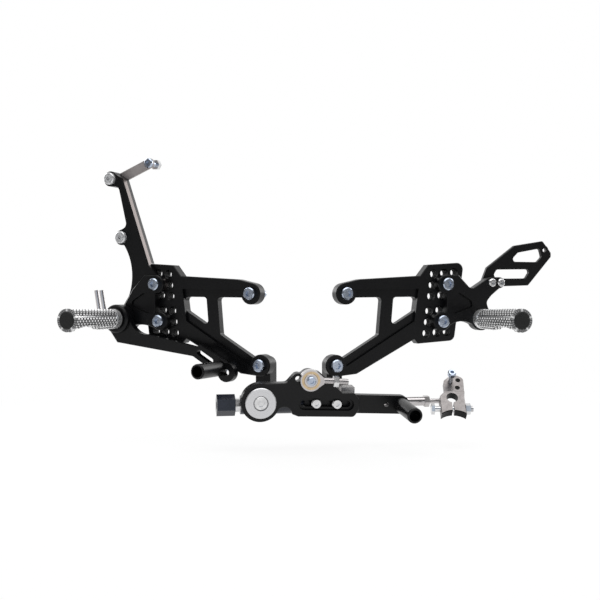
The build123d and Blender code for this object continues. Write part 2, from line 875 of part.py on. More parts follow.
# Stay for the brake reservoir, behind the head of the cylinder arm
stay_back = GEAR_SET.offset(arm_back_out - stay_thick)
stay_tip = polar(upper_eye, stay_length, 180 - stay_slope)
with BuildPart() as reservoir_stay:
    with BuildSketch(stay_back):
        with Locations(polar(upper_eye, stay_length / 2, 180 - stay_slope)):
            SlotCenterToCenter(stay_length, stay_width, rotation=180 - stay_slope)
        with Locations(upper_eye, stay_tip):
            Circle(m6_hole, mode=Mode.SUBTRACT)
    extrude(amount=stay_thick)
keep_other_hand(reservoir_stay.part, "reservoir_stay")
stay_screw = bolts(
    GEAR_SET.offset(arm_back_out),
    [stay_tip],
    stay_screw_length,
    m6_shank,
    m6_head,
    m6_head_height,
    m6_socket,
)
keep_other_hand(stay_screw, "stay_screw")
stay_nut_seat = GEAR_SET.offset(arm_back_out - stay_screw_length + edge_break)
keep_other_hand(nut(stay_nut_seat, stay_tip, m6_nut, m6_nut_height, 2 * m6_tapped), "stay_nut")

# Brake pedal with its bush, washer, studs and toe peg
toe_spot = shifted(peg_axis, -toe_reach, -toe_drop)
hook_spot = shifted(toe_spot, -toe_hook_lead, -0.45 * toe_hook_lead)
bar_middle = (toe_bar_top - toe_bar_under) / 2
slot_middle = turned(toe_spot, toe_slot_start + toe_slot_length / 2, bar_middle, toe_bar_angle)
pedal_heel = shifted(peg_axis, 0, -pedal_heel_drop)
toe_bar = [
    turned(toe_spot, toe_bar_length, -toe_bar_under, toe_bar_angle),
    turned(toe_spot, 0, -toe_bar_under, toe_bar_angle),
    hook_spot,
    turned(toe_spot, -toe_hook_lead, toe_bar_top, toe_bar_angle),
    turned(toe_spot, toe_bar_length, toe_bar_top, toe_bar_angle),
    turned(toe_spot, toe_bar_length, toe_bar_top - toe_bar_step, toe_bar_angle),
]
pedal_neck = shifted(peg_axis, -2.5 * pedal_boss_radius, -1.05 * pedal_boss_radius)
pedal_throat = shifted(peg_axis, -1.35 * pedal_boss_radius, -0.62 * pedal_boss_radius)
pedal_crotch = polar(peg_axis, pedal_boss_radius, pedal_crotch_bearing)
pedal_back = polar(peg_axis, pedal_boss_radius, pedal_back_bearing)
pedal_arm_out = pedal_start + pedal_arm_step
stud_spots = [stud_reach - stud_spacing / 2, stud_reach + stud_spacing / 2]
stud_base_up = -0.35 * pedal_boss_radius
lug_height = 0.75 * pedal_boss_radius


def stud_plane(reach):
    """The plane across a stud at its foot, inside the pedal's lug."""
    foot = GEAR_SET.from_local_coords(
        (peg_reach + reach, -peg_drop + stud_base_up, pedal_arm_out + pedal_arm_thick / 2)
    )
    upright = Plane(origin=foot, x_dir=GEAR_SET.x_dir, z_dir=(0, 0, 1))
    return upright.rotated((0, stud_tilt, 0))


with BuildPart() as brake_pedal:
    with BuildSketch(GEAR_SET.offset(pedal_arm_out)):
        with BuildLine():
            Polyline(pedal_back, pedal_heel, *toe_bar, pedal_neck)
            ThreePointArc(pedal_neck, pedal_throat, pedal_crotch)
            Polyline(pedal_crotch, peg_axis, pedal_back)
        make_face()
        with Locations(hook_spot):
            Circle(toe_hook_radius)
            Circle(toe_hook_hole / 2, mode=Mode.SUBTRACT)
        with Locations(slot_middle):
            SlotOverall(toe_slot_length, toe_slot_width, rotation=toe_bar_angle, mode=Mode.SUBTRACT)
        with Locations(toe_spot):
            Circle(m6_hole, mode=Mode.SUBTRACT)
        with Locations(shifted(peg_axis, stud_reach / 2 + stud_spacing / 2, stud_base_up)):
            Rectangle(stud_reach + stud_spacing, lug_height)
    extrude(amount=pedal_arm_thick)
    with BuildSketch(GEAR_SET.offset(pedal_start)):
        with Locations(peg_axis):
            Circle(pedal_boss_radius)
    extrude(amount=pedal_boss_thick)
    rim = brake_pedal.edges().sort_by(Axis(GEAR_SET.origin, GEAR_SET.z_dir))[-1]
    chamfer(rim, length=2 * edge_break)
    with BuildSketch(GEAR_SET.offset(pedal_start)):
        with Locations(peg_axis):
            Circle(pedal_bush / 2 + running_clearance)
    extrude(amount=pedal_boss_thick, mode=Mode.SUBTRACT)
    for reach in stud_spots:
        with BuildSketch(stud_plane(reach)):
            Circle(stud_diameter / 2 + thread_clearance)
        extrude(amount=lug_height, mode=Mode.SUBTRACT)
keep_other_hand(brake_pedal.part, "brake_pedal")

with BuildPart() as pedal_studs:
    for reach in stud_spots:
        with BuildSketch(stud_plane(reach)):
            Circle(stud_diameter / 2)
        extrude(amount=stud_height)
keep_other_hand(pedal_studs.part, "pedal_studs")

with BuildPart() as pedal_bush_sleeve:
    with BuildSketch(carrier_front):
        with Locations(peg_axis):
            Circle(pedal_bush / 2)
            Circle(m8_hole, mode=Mode.SUBTRACT)
    extrude(amount=bush_end - carrier_out)
keep_other_hand(pedal_bush_sleeve.part, "pedal_bush")

with BuildPart() as peg_washer:
    with BuildSketch(GEAR_SET.offset(bush_end)):
        with Locations(peg_axis):
            Circle(peg_base / 2 + edge_break)
            Circle(m8_hole, mode=Mode.SUBTRACT)
    extrude(amount=peg_washer_thick)
keep_other_hand(peg_washer.part, "peg_washer")


def toe_peg(seat, spot, length):
    """A round toe peg, bored out from its tip, with a threaded hole in its foot."""
    with BuildPart() as peg:
        with BuildSketch(seat):
            with Locations(spot):
                Circle(toe_peg_diameter / 2)
        extrude(amount=length)
        chamfer(peg.edges().sort_by(Axis(seat.origin, seat.z_dir))[-1], length=toe_peg_bevel)
        with BuildSketch(seat):
            with Locations(spot):
                Circle(m6_tapped)
        extrude(amount=length / 2, mode=Mode.SUBTRACT)
        with BuildSketch(seat.offset(length / 2 + toe_peg_floor)):
            with Locations(spot):
                Circle(toe_peg_bore / 2)
        extrude(amount=length / 2, mode=Mode.SUBTRACT)
    return peg.part


def toe_screw(seat, spot, wall):
    """The screw that holds a toe peg, from the back of the lever."""
    behind = from_behind(seat.offset(-wall))
    spot_behind = (spot[0], -spot[1])
    length = wall + 2 * m6_shank
    return bolts(behind, [spot_behind], length, m6_shank, m6_head, m6_head_height, m6_socket)


pedal_face = GEAR_SET.offset(pedal_arm_out + pedal_arm_thick)
keep_other_hand(toe_peg(pedal_face, toe_spot, toe_peg_length), "brake_toe_peg")
keep_other_hand(toe_screw(pedal_face, toe_spot, pedal_arm_thick), "brake_toe_screw")

# Gear lever
pivot = (0, 0)
tab_spot = (tab_reach, tab_rise)
eye_spot = (eye_reach, tab_rise)
slot_start = (lever_slot_start, -lever_slot_drop)
slot_end = polar(slot_start, lever_slot_length, -lever_droop)
slot_centre = polar(slot_start, lever_slot_length / 2, -lever_droop)
screw_spots = [
    polar(slot_start, toe_arm_screw_start, -lever_droop),
    polar(slot_start, toe_arm_screw_start + toe_arm_screw_spacing, -lever_droop),
]
lever_back = GEAR_LEVER.offset(-lever_thick)
lever_top_end = shifted(slot_end, lever_slot_width / 2, lever_slot_width)
lever_nose_top = (lever_length, slot_end[1] + lever_slot_width / 2)
lever_nose_bottom = (lever_length, slot_end[1] - lever_slot_width / 2)
lever_sole_end = shifted(slot_end, lever_slot_width / 2, -1.05 * lever_slot_width)
lever_sole_start = shifted(slot_start, -lever_slot_width / 2, -1.05 * lever_slot_width)
scallop_end = shifted(lever_sole_start, -lever_slot_width / 2, 0.2 * lever_slot_width)
scallop_crown = (lever_boss_radius + 0.35 * lever_slot_width, -0.42 * lever_slot_width)
scallop_start = polar(pivot, lever_boss_radius, -scallop_bearing)
boss_leave = polar(pivot, lever_boss_radius, boss_leave_bearing)
tab_start = (tab_reach - 2 * tab_radius, lever_boss_radius)
eye_lobe = shifted(eye_spot, eye_lobe_reach, eye_lobe_rise)
tab_notch = between(tab_spot, eye_spot, 0.3, tab_radius)
lever_shelf = shifted(slot_end, -lever_slot_width / 2, lever_slot_width)

with BuildPart() as gear_lever:
    with BuildSketch(GEAR_LEVER) as lever_face:
        with BuildLine():
            Polyline(
                scallop_start,
                pivot,
                boss_leave,
                tab_start,
                touching(tab_spot, tab_radius, tab_start, -1),
                tab_spot,
                eye_spot,
                touching(eye_spot, rod_end_spacer, eye_lobe, 1),
                eye_lobe,
                lever_shelf,
                lever_top_end,
                lever_nose_top,
                lever_nose_bottom,
                lever_sole_end,
                lever_sole_start,
                scallop_end,
            )
            ThreePointArc(scallop_end, scallop_crown, scallop_start)
        make_face()
        with Locations(pivot):
            Circle(lever_boss_radius)
        with Locations(tab_spot):
            Circle(tab_radius)
        with Locations(eye_spot):
            Circle(rod_end_spacer)
        fillet(corner_near(lever_face, tab_start), radius=tab_radius)
        fillet(corner_near(lever_face, tab_notch), radius=tab_radius / 2)
        nose = [lever_nose_top, lever_nose_bottom, lever_top_end, lever_sole_end]
        fillet([corner_near(lever_face, corner) for corner in nose], radius=lever_slot_depth)
    extrude(amount=-lever_thick)
    beyond_boss = front_edges(gear_lever, GEAR_LEVER).filter_by(
        lambda edge: GEAR_LEVER.to_local_coords(edge.center()).X > lever_boss_radius
    )
    chamfer(beyond_boss, length=edge_break)
    with BuildSketch(GEAR_LEVER):
        with Locations(slot_centre):
            SlotCenterToCenter(lever_slot_length, lever_slot_width, rotation=-lever_droop)
    extrude(amount=-lever_slot_depth, mode=Mode.SUBTRACT)
    with BuildSketch(GEAR_LEVER):
        with Locations(slot_centre):
            SlotCenterToCenter(lever_slot_length, 2 * m6_hole, rotation=-lever_droop)
        with Locations(tab_spot):
            Circle(tab_hole / 2)
        with Locations(eye_spot):
            Circle(m6_tapped)
        with Locations(pivot):
            Circle(pivot_bush_diameter / 2 + running_clearance)
    extrude(amount=-lever_thick, mode=Mode.SUBTRACT)
keep(gear_lever.part, "gear_lever")

# Pivot of the lever: flanged bush, bright disc and flat headed bolt
bush_front = GEAR_LEVER.offset(side_gap)
bush_back = GEAR_LEVER.offset(-lever_thick - side_gap)
with BuildPart() as pivot_bush:
    with BuildSketch(bush_back):
        Circle(pivot_bush_diameter / 2)
    extrude(amount=lever_thick + 2 * side_gap)
    with BuildSketch(bush_back):
        Circle(pivot_flange / 2)
    extrude(amount=-pivot_flange_thick)
    with BuildSketch(bush_front):
        Circle(m8_hole)
    extrude(amount=-lever_thick - 2 * side_gap - pivot_flange_thick, mode=Mode.SUBTRACT)
keep(pivot_bush.part, "pivot_bush")

disc_front = bush_front.offset(pivot_disc_thick)
with BuildPart() as pivot_disc:
    with BuildSketch(bush_front):
        Circle(pivot_disc_diameter / 2)
    extrude(amount=pivot_disc_thick)
    chamfer(pivot_disc.edges().sort_by(Axis(disc_front.origin, disc_front.z_dir))[-1], length=edge_break)
    with BuildSketch(disc_front):
        Circle(m8_hole)
    extrude(amount=-pivot_disc_thick, mode=Mode.SUBTRACT)
    with BuildSketch(disc_front):
        Circle(pivot_head / 2 + bolt_clearance)
    extrude(amount=-pivot_head_height, mode=Mode.SUBTRACT)
keep(pivot_disc.part, "pivot_disc")

pivot_bolt = bolts(
    disc_front.offset(-pivot_head_height),
    [pivot],
    pivot_disc_thick - pivot_head_height + lever_thick + 2 * side_gap + pivot_flange_thick,
    m8_shank,
    pivot_head,
    pivot_head_height,
    m8_socket,
)
with BuildPart() as pivot_bolt_tail:
    add(pivot_bolt)
    with BuildSketch(bush_back.offset(-pivot_flange_thick)):
        Circle(m8_shank / 2 - thread_step)
    extrude(amount=-pivot_tail)
keep(pivot_bolt_tail.part, "pivot_bolt")

# Toe arm, clamped behind the lever by two screws in its slot
toe_arm_lead = 0.6 * toe_arm_height
toe_arm_end = turned(slot_start, toe_arm_length, -toe_arm_offset, -lever_droop)
toe_arm_centre = turned(slot_start, (toe_arm_lead + toe_arm_length) / 2, -toe_arm_offset, -lever_droop)
toe_arm_hole_spot = polar(toe_arm_end, -toe_arm_hole_lead, -lever_droop)
with BuildPart() as toe_arm:
    with BuildSketch(lever_back):
        with Locations(toe_arm_centre):
            SlotCenterToCenter(toe_arm_length - toe_arm_lead, toe_arm_height, rotation=-lever_droop)
        with Locations(*screw_spots):
            Circle(m6_tapped, mode=Mode.SUBTRACT)
        with Locations(toe_arm_hole_spot):
            Circle(toe_arm_hole / 2, mode=Mode.SUBTRACT)
        with Locations(toe_arm_end):
            Circle(m6_hole, mode=Mode.SUBTRACT)
    extrude(amount=-toe_arm_thick)
keep(toe_arm.part, "toe_arm")

toe_arm_screws = bolts(
    GEAR_LEVER.offset(-lever_slot_depth),
    screw_spots,
    lever_thick - lever_slot_depth + toe_arm_thick,
    m6_shank,
    m6_head,
    m6_head_height,
    m6_socket,
)
keep(toe_arm_screws, "toe_arm_screws")
keep(toe_peg(lever_back, toe_arm_end, gear_toe_length), "gear_toe_peg")
keep(toe_screw(lever_back, toe_arm_end, toe_arm_thick), "gear_toe_screw")

# Rod end: an eye with a brass race that swivels on a ball
ball_start = rod_end_spacer_thick
ball_middle = ball_start + rod_end_ball_width / 2
eye_plane = GEAR_LEVER.offset(ball_middle)
ball_centre = eye_plane.from_local_coords((*eye_spot, 0))
shank_angle = radians(rod_end_droop)
shank_line = eye_plane.x_dir * cos(shank_angle) - eye_plane.y_dir * sin(shank_angle)
shank_plane = Plane(origin=ball_centre, x_dir=eye_plane.z_dir, z_dir=shank_line)

neck_middle = polar(eye_spot, rod_end_neck, -rod_end_droop)
neck_top = polar(neck_middle, rod_end_shank / 2, 90 - rod_end_droop)
neck_bottom = polar(neck_middle, -rod_end_shank / 2, 90 - rod_end_droop)
neck_face = [
    eye_spot,
    touching(eye_spot, rod_end_eye / 2, neck_bottom, -1),
    neck_bottom,
    neck_top,
    touching(eye_spot, rod_end_eye / 2, neck_top, 1),
]

with BuildPart() as rod_end:
    with BuildSketch(eye_plane):
        with Locations(eye_spot):
            Circle(rod_end_eye / 2)
    extrude(amount=rod_end_thick / 2, both=True)
    with BuildSketch(eye_plane):
        Polygon(*neck_face, align=None)
    extrude(amount=rod_end_shank / 2, both=True)
    with BuildSketch(shank_plane):
        Circle(rod_end_shank / 2)
    extrude(amount=rod_end_length)
    with BuildSketch(eye_plane):
        with Locations(eye_spot):
            Circle(rod_end_race / 2)
    extrude(amount=rod_end_ball_width, both=True, mode=Mode.SUBTRACT)
keep(rod_end.part, "rod_end")

with BuildPart() as rod_end_race_ring:
    with BuildSketch(eye_plane):
        with Locations(eye_spot):
            Circle(rod_end_race / 2)
    extrude(amount=rod_end_thick / 2, both=True)
    with Locations(Location(ball_centre)):
        Sphere(rod_end_ball / 2 + running_clearance, mode=Mode.SUBTRACT)
keep(rod_end_race_ring.part, "rod_end_race")

with BuildPart() as rod_end_ball_joint:
    with Locations(Location(ball_centre)):
        Sphere(rod_end_ball / 2)
    with BuildSketch(eye_plane):
        with Locations(eye_spot):
            Circle(rod_end_ball)
    extrude(amount=rod_end_ball_width / 2, both=True, mode=Mode.INTERSECT)
    with BuildSketch(eye_plane):
        with Locations(eye_spot):
            Circle(m6_tapped)
    extrude(amount=rod_end_ball_width, both=True, mode=Mode.SUBTRACT)
keep(rod_end_ball_joint.part, "rod_end_ball")

with BuildPart() as rod_end_spacer_ring:
    with BuildSketch(GEAR_LEVER):
        with Locations(eye_spot):
            Circle(rod_end_spacer / 2)
            Circle(m6_hole, mode=Mode.SUBTRACT)
    extrude(amount=rod_end_spacer_thick)
keep(rod_end_spacer_ring.part, "rod_end_spacer")

rod_end_bolt = bolts(
    GEAR_LEVER.offset(ball_start + rod_end_ball_width),
    [eye_spot],
    ball_start + rod_end_ball_width + lever_thick,
    m6_shank,
    rod_end_spacer,
    m6_head_height,
    m6_socket,
)
keep(rod_end_bolt, "rod_end_bolt")
nut_bore = rod_end_shank + 2 * thread_clearance
rod_end_nut = nut(shank_plane.offset(rod_end_nut_place), (0, 0), m6_nut, m6_nut_height, nut_bore)
keep(rod_end_nut, "rod_end_nut")

# Shift rod: coupler with a hexagon, rod and stud, in line behind the lever


def rod_station(along):
    """A plane across the shift rod."""
    return facing_along(GEAR_LEVER, along, -rod_drop, -rod_back)


coupler_nut_at = coupler_start + coupler_hex_length
coupler_bar_at = coupler_nut_at + m8_nut_height
coupler_end = coupler_start + coupler_length
rod_end_at = coupler_end + shift_rod_length - coupler_bore_length
with BuildPart() as rod_coupler:
    with BuildSketch(rod_station(coupler_start)):
        RegularPolygon(coupler_hex / 2, side_count=6, major_radius=False, rotation=coupler_turn)
    extrude(amount=coupler_hex_length)
    with BuildSketch(rod_station(coupler_nut_at)):
        Circle(m8_shank / 2)
    extrude(amount=m8_nut_height)
    with BuildSketch(rod_station(coupler_bar_at)):
        Circle(coupler_diameter / 2)
    extrude(amount=coupler_end - coupler_bar_at)
    with BuildSketch(rod_station(coupler_start)):
        Circle(m8_tapped)
    extrude(amount=coupler_tap_depth, mode=Mode.SUBTRACT)
    with BuildSketch(rod_station(coupler_end)):
        Circle(shift_rod_diameter / 2 + thread_clearance)
    extrude(amount=-coupler_bore_length, mode=Mode.SUBTRACT)
keep(rod_coupler.part, "rod_coupler")
coupler_nut = nut(rod_station(coupler_nut_at), (0, 0), m8_nut, m8_nut_height, 2 * m8_tapped)
keep(coupler_nut, "coupler_nut")

with BuildPart() as shift_rod:
    with BuildSketch(rod_station(coupler_end - coupler_bore_length)):
        Circle(shift_rod_diameter / 2)
    extrude(amount=shift_rod_length)
    with BuildSketch(rod_station(rod_end_at)):
        Circle(rod_stud_waist / 2 + thread_clearance)
    extrude(amount=-rod_stud_hold, mode=Mode.SUBTRACT)
keep(shift_rod.part, "shift_rod")

stud_free_at = rod_end_at + stud_collar_thick + thread_run_out
with BuildPart() as rod_stud:
    with BuildSketch(rod_station(rod_end_at - rod_stud_hold)):
        Circle(rod_stud_waist / 2)
    extrude(amount=rod_stud_hold + stud_collar_thick + thread_run_out)
    with BuildSketch(rod_station(rod_end_at)):
        RegularPolygon(stud_collar_across / 2, side_count=6, major_radius=False)
    extrude(amount=stud_collar_thick)
    with BuildSketch(rod_station(stud_free_at)):
        Circle(rod_stud_diameter / 2)
    extrude(amount=rod_stud_length)
keep(rod_stud.part, "rod_stud")

with BuildPart() as rod_guide:
    with BuildSketch(rod_station(guide_reach - guide_width / 2)):
        with Locations((0, -guide_hang)):
            Rectangle(guide_thick, guide_height)
        Circle(shift_rod_diameter / 2 + thread_clearance, mode=Mode.SUBTRACT)
    extrude(amount=guide_width)
keep(rod_guide.part, "rod_guide")

# Clamp arm for the shift shaft, with its pinch bolt, nut and link bolt
clamp_tab = [
    (-clamp_half_width, -clamp_jaw_drop),
    (-clamp_half_width, 0.1 * clamp_jaw_drop),
    (-0.5 * clamp_half_width, 0.42 * clamp_jaw_drop),
    (-0.5 * clamp_half_width, 0.75 * clamp_tab_height),
    (0, 0.93 * clamp_tab_height),
    (0.6 * clamp_half_width, clamp_tab_height),
    (1.15 * clamp_half_width, 0.85 * clamp_tab_height),
    (1.08 * clamp_half_width, 0.3 * clamp_tab_height),
    (clamp_half_width, 0.1 * clamp_jaw_drop),
    (clamp_half_width, -clamp_jaw_drop),
]
tab_holes = [
    (0.7 * clamp_half_width, 0.78 * clamp_tab_height),
    (0.57 * clamp_half_width, 0.47 * clamp_tab_height),
]
link_spot = (0.07 * clamp_half_width, 0.73 * clamp_tab_height)
clamp_tab_foot = 0.75 * clamp_bore
pinch_station = facing_along(SHIFT_CLAMP, -clamp_half_width, -pinch_drop, -clamp_thick / 2)

with BuildPart() as shift_arm:
    with BuildSketch(SHIFT_CLAMP) as clamp_face:
        with BuildLine():
            Polyline(*clamp_tab)
            ThreePointArc(clamp_tab[-1], (0, -clamp_jaw_drop + clamp_arch_rise), clamp_tab[0])
        make_face()
        fillet([corner_near(clamp_face, corner) for corner in clamp_tab[1:-1]], radius=clamp_corner)
    extrude(amount=-clamp_thick)
    with BuildSketch(SHIFT_CLAMP):
        with Locations((0, clamp_tab_foot + clamp_tab_height / 2)):
            Rectangle(3 * clamp_half_width, clamp_tab_height)
    extrude(amount=-clamp_tab_step, mode=Mode.SUBTRACT)
    chamfer(front_edges(shift_arm, SHIFT_CLAMP), length=edge_break)
    with BuildSketch(SHIFT_CLAMP):
        Circle(clamp_bore / 2)
        with Locations((0, -clamp_jaw_drop / 2)):
            Rectangle(clamp_slit, clamp_jaw_drop)
        with Locations(*tab_holes):
            Circle(clamp_tab_hole / 2)
        with Locations(link_spot):
            Circle(m5_shank / 2 + thread_clearance)
    extrude(amount=-clamp_thick, mode=Mode.SUBTRACT)
    with BuildSketch(pinch_station):
        Circle(m6_hole)
    extrude(amount=2 * clamp_half_width, mode=Mode.SUBTRACT)
keep(shift_arm.part, "shift_arm")

pinch_seat = Plane(
    origin=pinch_station.offset(-pinch_overhang).origin,
    x_dir=pinch_station.x_dir,
    z_dir=-pinch_station.z_dir,
)
with BuildPart() as pinch_bolt:
    with BuildSketch(pinch_seat):
        RegularPolygon(m6_nut / 2, side_count=6, major_radius=False)
    extrude(amount=m6_head_height)
    with BuildSketch(pinch_seat):
        Circle(m6_shank / 2)
    extrude(amount=-(pinch_overhang + 2 * clamp_half_width + pinch_tail))
keep(pinch_bolt.part, "pinch_bolt")
nut_seat = pinch_station.offset(2 * clamp_half_width)
keep(nut(nut_seat, (0, 0), m6_nut, m6_nut_height, 2 * m6_tapped), "pinch_nut")
link_bolt = bolts(
    SHIFT_CLAMP.offset(link_bolt_stand),
    [link_spot],
    link_bolt_stand + clamp_thick,
    m5_shank,
    m5_head,
    m5_head_height,
    m5_socket,
)
keep(link_bolt, "link_bolt")
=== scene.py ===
# %% [markdown]
# A rear set kit for a motorcycle
#
# The solids come ready made, in metres, Z up. This script gives them their finishes, cuts the
# teeth of the foot pegs and the threads that show, and sets the table, the lamps and the camera.

# %% Load the solids
import json
import math

import bpy
from mathutils import Matrix, Vector

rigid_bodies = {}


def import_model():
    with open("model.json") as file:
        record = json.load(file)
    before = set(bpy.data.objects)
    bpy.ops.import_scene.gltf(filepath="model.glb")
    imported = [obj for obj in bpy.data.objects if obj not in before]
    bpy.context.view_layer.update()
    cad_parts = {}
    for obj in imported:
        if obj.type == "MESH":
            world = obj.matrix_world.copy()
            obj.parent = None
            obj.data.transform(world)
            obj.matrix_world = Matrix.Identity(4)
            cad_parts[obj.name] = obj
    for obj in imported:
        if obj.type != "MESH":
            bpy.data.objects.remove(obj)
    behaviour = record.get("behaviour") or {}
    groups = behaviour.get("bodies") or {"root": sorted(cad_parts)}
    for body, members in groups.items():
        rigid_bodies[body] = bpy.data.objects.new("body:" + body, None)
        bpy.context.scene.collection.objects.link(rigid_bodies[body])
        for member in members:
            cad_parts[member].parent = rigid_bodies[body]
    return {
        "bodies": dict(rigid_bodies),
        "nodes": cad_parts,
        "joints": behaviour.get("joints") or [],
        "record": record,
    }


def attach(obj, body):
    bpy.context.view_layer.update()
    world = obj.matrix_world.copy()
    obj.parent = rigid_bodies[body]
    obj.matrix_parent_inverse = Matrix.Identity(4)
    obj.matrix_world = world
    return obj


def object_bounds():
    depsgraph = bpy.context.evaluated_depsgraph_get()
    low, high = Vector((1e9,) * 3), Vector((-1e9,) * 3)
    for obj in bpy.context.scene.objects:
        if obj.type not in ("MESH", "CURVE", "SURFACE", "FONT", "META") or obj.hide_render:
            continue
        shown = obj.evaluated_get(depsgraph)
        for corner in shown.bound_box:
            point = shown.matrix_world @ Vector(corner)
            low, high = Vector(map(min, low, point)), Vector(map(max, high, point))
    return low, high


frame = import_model()
cad_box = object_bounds()
nodes = frame["nodes"]
record = frame["record"]
joints = {joint["name"]: joint for joint in frame["joints"]}
mounts = {mount["name"]: mount for mount in record["mounts"]}
print(len(nodes), "solids in a box of", [round(high - low, 3) for low, high in zip(*cad_box)])

# %% [markdown]
# Writing node trees
#
# A shader or a geometry tree can be clicked together by hand, but a script is easier to read when a
# sum looks like a sum. A wire is one output socket. Adding or multiplying wires puts a Math node in
# the tree. Every other node comes from one method: its type, its settings, then its sockets.

# %% Wires and benches
class Wire:
    """One output socket of a node tree, for use in sums."""

    def __init__(self, bench, socket):
        self.bench = bench
        self.socket = socket

    def __add__(self, other):
        return self.bench.math("ADD", self, other)

    def __radd__(self, other):
        return self.bench.math("ADD", other, self)

    def __sub__(self, other):
        return self.bench.math("SUBTRACT", self, other)

    def __rsub__(self, other):
        return self.bench.math("SUBTRACT", other, self)

    def __mul__(self, other):
        return self.bench.math("MULTIPLY", self, other)

    def __rmul__(self, other):
        return self.bench.math("MULTIPLY", other, self)

    def __truediv__(self, other):
        return self.bench.math("DIVIDE", self, other)

    def __rtruediv__(self, other):
        return self.bench.math("DIVIDE", other, self)


class Bench:
    """A node tree that is being put together."""

    def __init__(self, tree):
        self.tree = tree

    def add(self, kind, settings=None, sockets=None):
        """One node: its settings are set first, then the values or wires of its sockets."""
        node = self.tree.nodes.new(kind)
        for name, value in (settings or {}).items():
            setattr(node, name, value)
        for name, value in (sockets or {}).items():
            if isinstance(value, Wire):
                self.tree.links.new(value.socket, node.inputs[name])
            else:
                node.inputs[name].default_value = value
        return node

    def wire(self, node, output=0):
        """One output of a node."""
        return Wire(self, node.outputs[output])

    def get(self, kind, settings=None, sockets=None, output=0):
        """One output of a new node."""
        return self.wire(self.add(kind, settings, sockets), output)

    def math(self, operation, first, second=0.0):
        """A sum of two values."""
        return self.get("ShaderNodeMath", {"operation": operation}, {0: first, 1: second})

    def vector(self, operation, first, second=None, output=0):
        """A sum of two vectors; a length or a dot product comes out of its Value."""
        sockets = {0: first}
        if second is not None:
            sockets[1] = second
        return self.get("ShaderNodeVectorMath", {"operation": operation}, sockets, output)

    def scaled(self, vector, factor):
        """A vector times a value."""
        return self.get("ShaderNodeVectorMath", {"operation": "SCALE"}, {0: vector, "Scale": factor})

    def fade(self, value, start, end, low=0.0, high=1.0):
        """A smooth step from low to high while the value goes from start to end."""
        return self.get("ShaderNodeMapRange", {"interpolation_type": "SMOOTHSTEP"}, {
            "Value": value, "From Min": start, "From Max": end, "To Min": low, "To Max": high})


print("wires understand + - * and /")

# %% [markdown]
# Finishes
#
# A flat colour would look like plastic. Each finish here mixes two tones by a slow noise, varies the
# gloss by a finer one and adds a grain as bump. All of them read the place on the object, in metres.
# The shine is the strength of the clear reflection: the dyed skin of anodised aluminium reflects less
# than lacquer.

# %% A common metal finish
finishes = {}


def start_finish(name):
    """An empty material with its shader and the place on the object."""
    material = bpy.data.materials.new(name)
    material.use_nodes = True
    bench = Bench(material.node_tree)
    shader = material.node_tree.nodes["Principled BSDF"]
    place = bench.get("ShaderNodeTexCoord", output="Object")
    return material, bench, shader, place


def noise(bench, place, size, detail=2.0, stretch=None):
    """A noise whose patches are about as large as size, in metres."""
    if stretch:
        place = bench.vector("MULTIPLY", place, stretch)
    return bench.get("ShaderNodeTexNoise", None, {"Vector": place, "Scale": 1.0 / size, "Detail": detail})


def blend_tones(bench, factor, first, second):
    """A colour between two tones, each one a colour or a wire."""
    tones = [tone if isinstance(tone, Wire) else (*tone, 1.0) for tone in (first, second)]
    mix = bench.add("ShaderNodeMix", {"data_type": "RGBA"}, {"Factor": factor, "A": tones[0], "B": tones[1]})
    return bench.wire(mix, "Result")


def larger(*wires):
    """The largest of several wires."""
    most = wires[0]
    for wire in wires[1:]:
        most = most.bench.math("MAXIMUM", most, wire)
    return most


def set_relief(bench, shader, height, depth):
    """A bump of a real depth in metres."""
    bump = bench.get("ShaderNodeBump", None, {"Height": height, "Distance": depth, "Strength": 1.0})
    bench.tree.links.new(bump.socket, shader.inputs["Normal"])


def feed(bench, shader, name, wire):
    """Lets a wire set one input of a shader."""
    bench.tree.links.new(wire.socket, shader.inputs[name])


def metal(name, dark, light, metallic, gloss, patch, grain, grain_depth, shine=0.5, stretch=None):
    """A metal finish: two tones in patches, and a grain that changes gloss and relief."""
    material, bench, shader, place = start_finish(name)
    patches = noise(bench, place, patch)
    grains = noise(bench, place, grain, 3.0, stretch)
    tone = blend_tones(bench, patches, dark, light)
    feed(bench, shader, "Base Color", tone)
    low, high = gloss
    feed(bench, shader, "Roughness", low + (high - low) * (0.6 * grains + 0.4 * patches))
    shader.inputs["Metallic"].default_value = metallic
    shader.inputs["Specular IOR Level"].default_value = shine
    set_relief(bench, shader, grains, grain_depth)
    finishes[name] = material
    return bench, shader, place, tone


# Dark tone, light tone, metallic, gloss from and to, size of patches, size of grain, its depth, shine.
BLACK = ((0.0015, 0.0015, 0.002), (0.0045, 0.0045, 0.005), 0.0, (0.24, 0.38), 0.03, 0.0007, 0.00002, 0.22)
metal("black_anodised", *BLACK)
metal("black_plastic", (0.004, 0.004, 0.004), (0.010, 0.010, 0.010), 0.0, (0.42, 0.60), 0.004, 0.0005,
      0.00003, 0.3)
metal("blued_steel", (0.010, 0.012, 0.018), (0.020, 0.023, 0.036), 0.0, (0.16, 0.30), 0.006, 0.0007,
      0.00001, 0.45)
metal("zinc_steel", (0.24, 0.29, 0.39), (0.58, 0.63, 0.71), 1.0, (0.12, 0.30), 0.003, 0.0006, 0.00001)
metal("nickel_steel", (0.42, 0.42, 0.43), (0.86, 0.86, 0.86), 1.0, (0.12, 0.30), 0.003, 0.0006, 0.00001)
metal("turned_steel", (0.30, 0.30, 0.31), (0.95, 0.95, 0.95), 0.5, (0.14, 0.30), 0.0022, 0.0006, 0.00002)
metal("polished_steel", (0.38, 0.36, 0.36), (0.62, 0.60, 0.60), 1.0, (0.12, 0.26), 0.02, 0.0008, 0.000004)
metal("bright_aluminium", (0.72, 0.72, 0.72), (0.88, 0.88, 0.88), 1.0, (0.16, 0.30), 0.005, 0.0006, 0.000012)
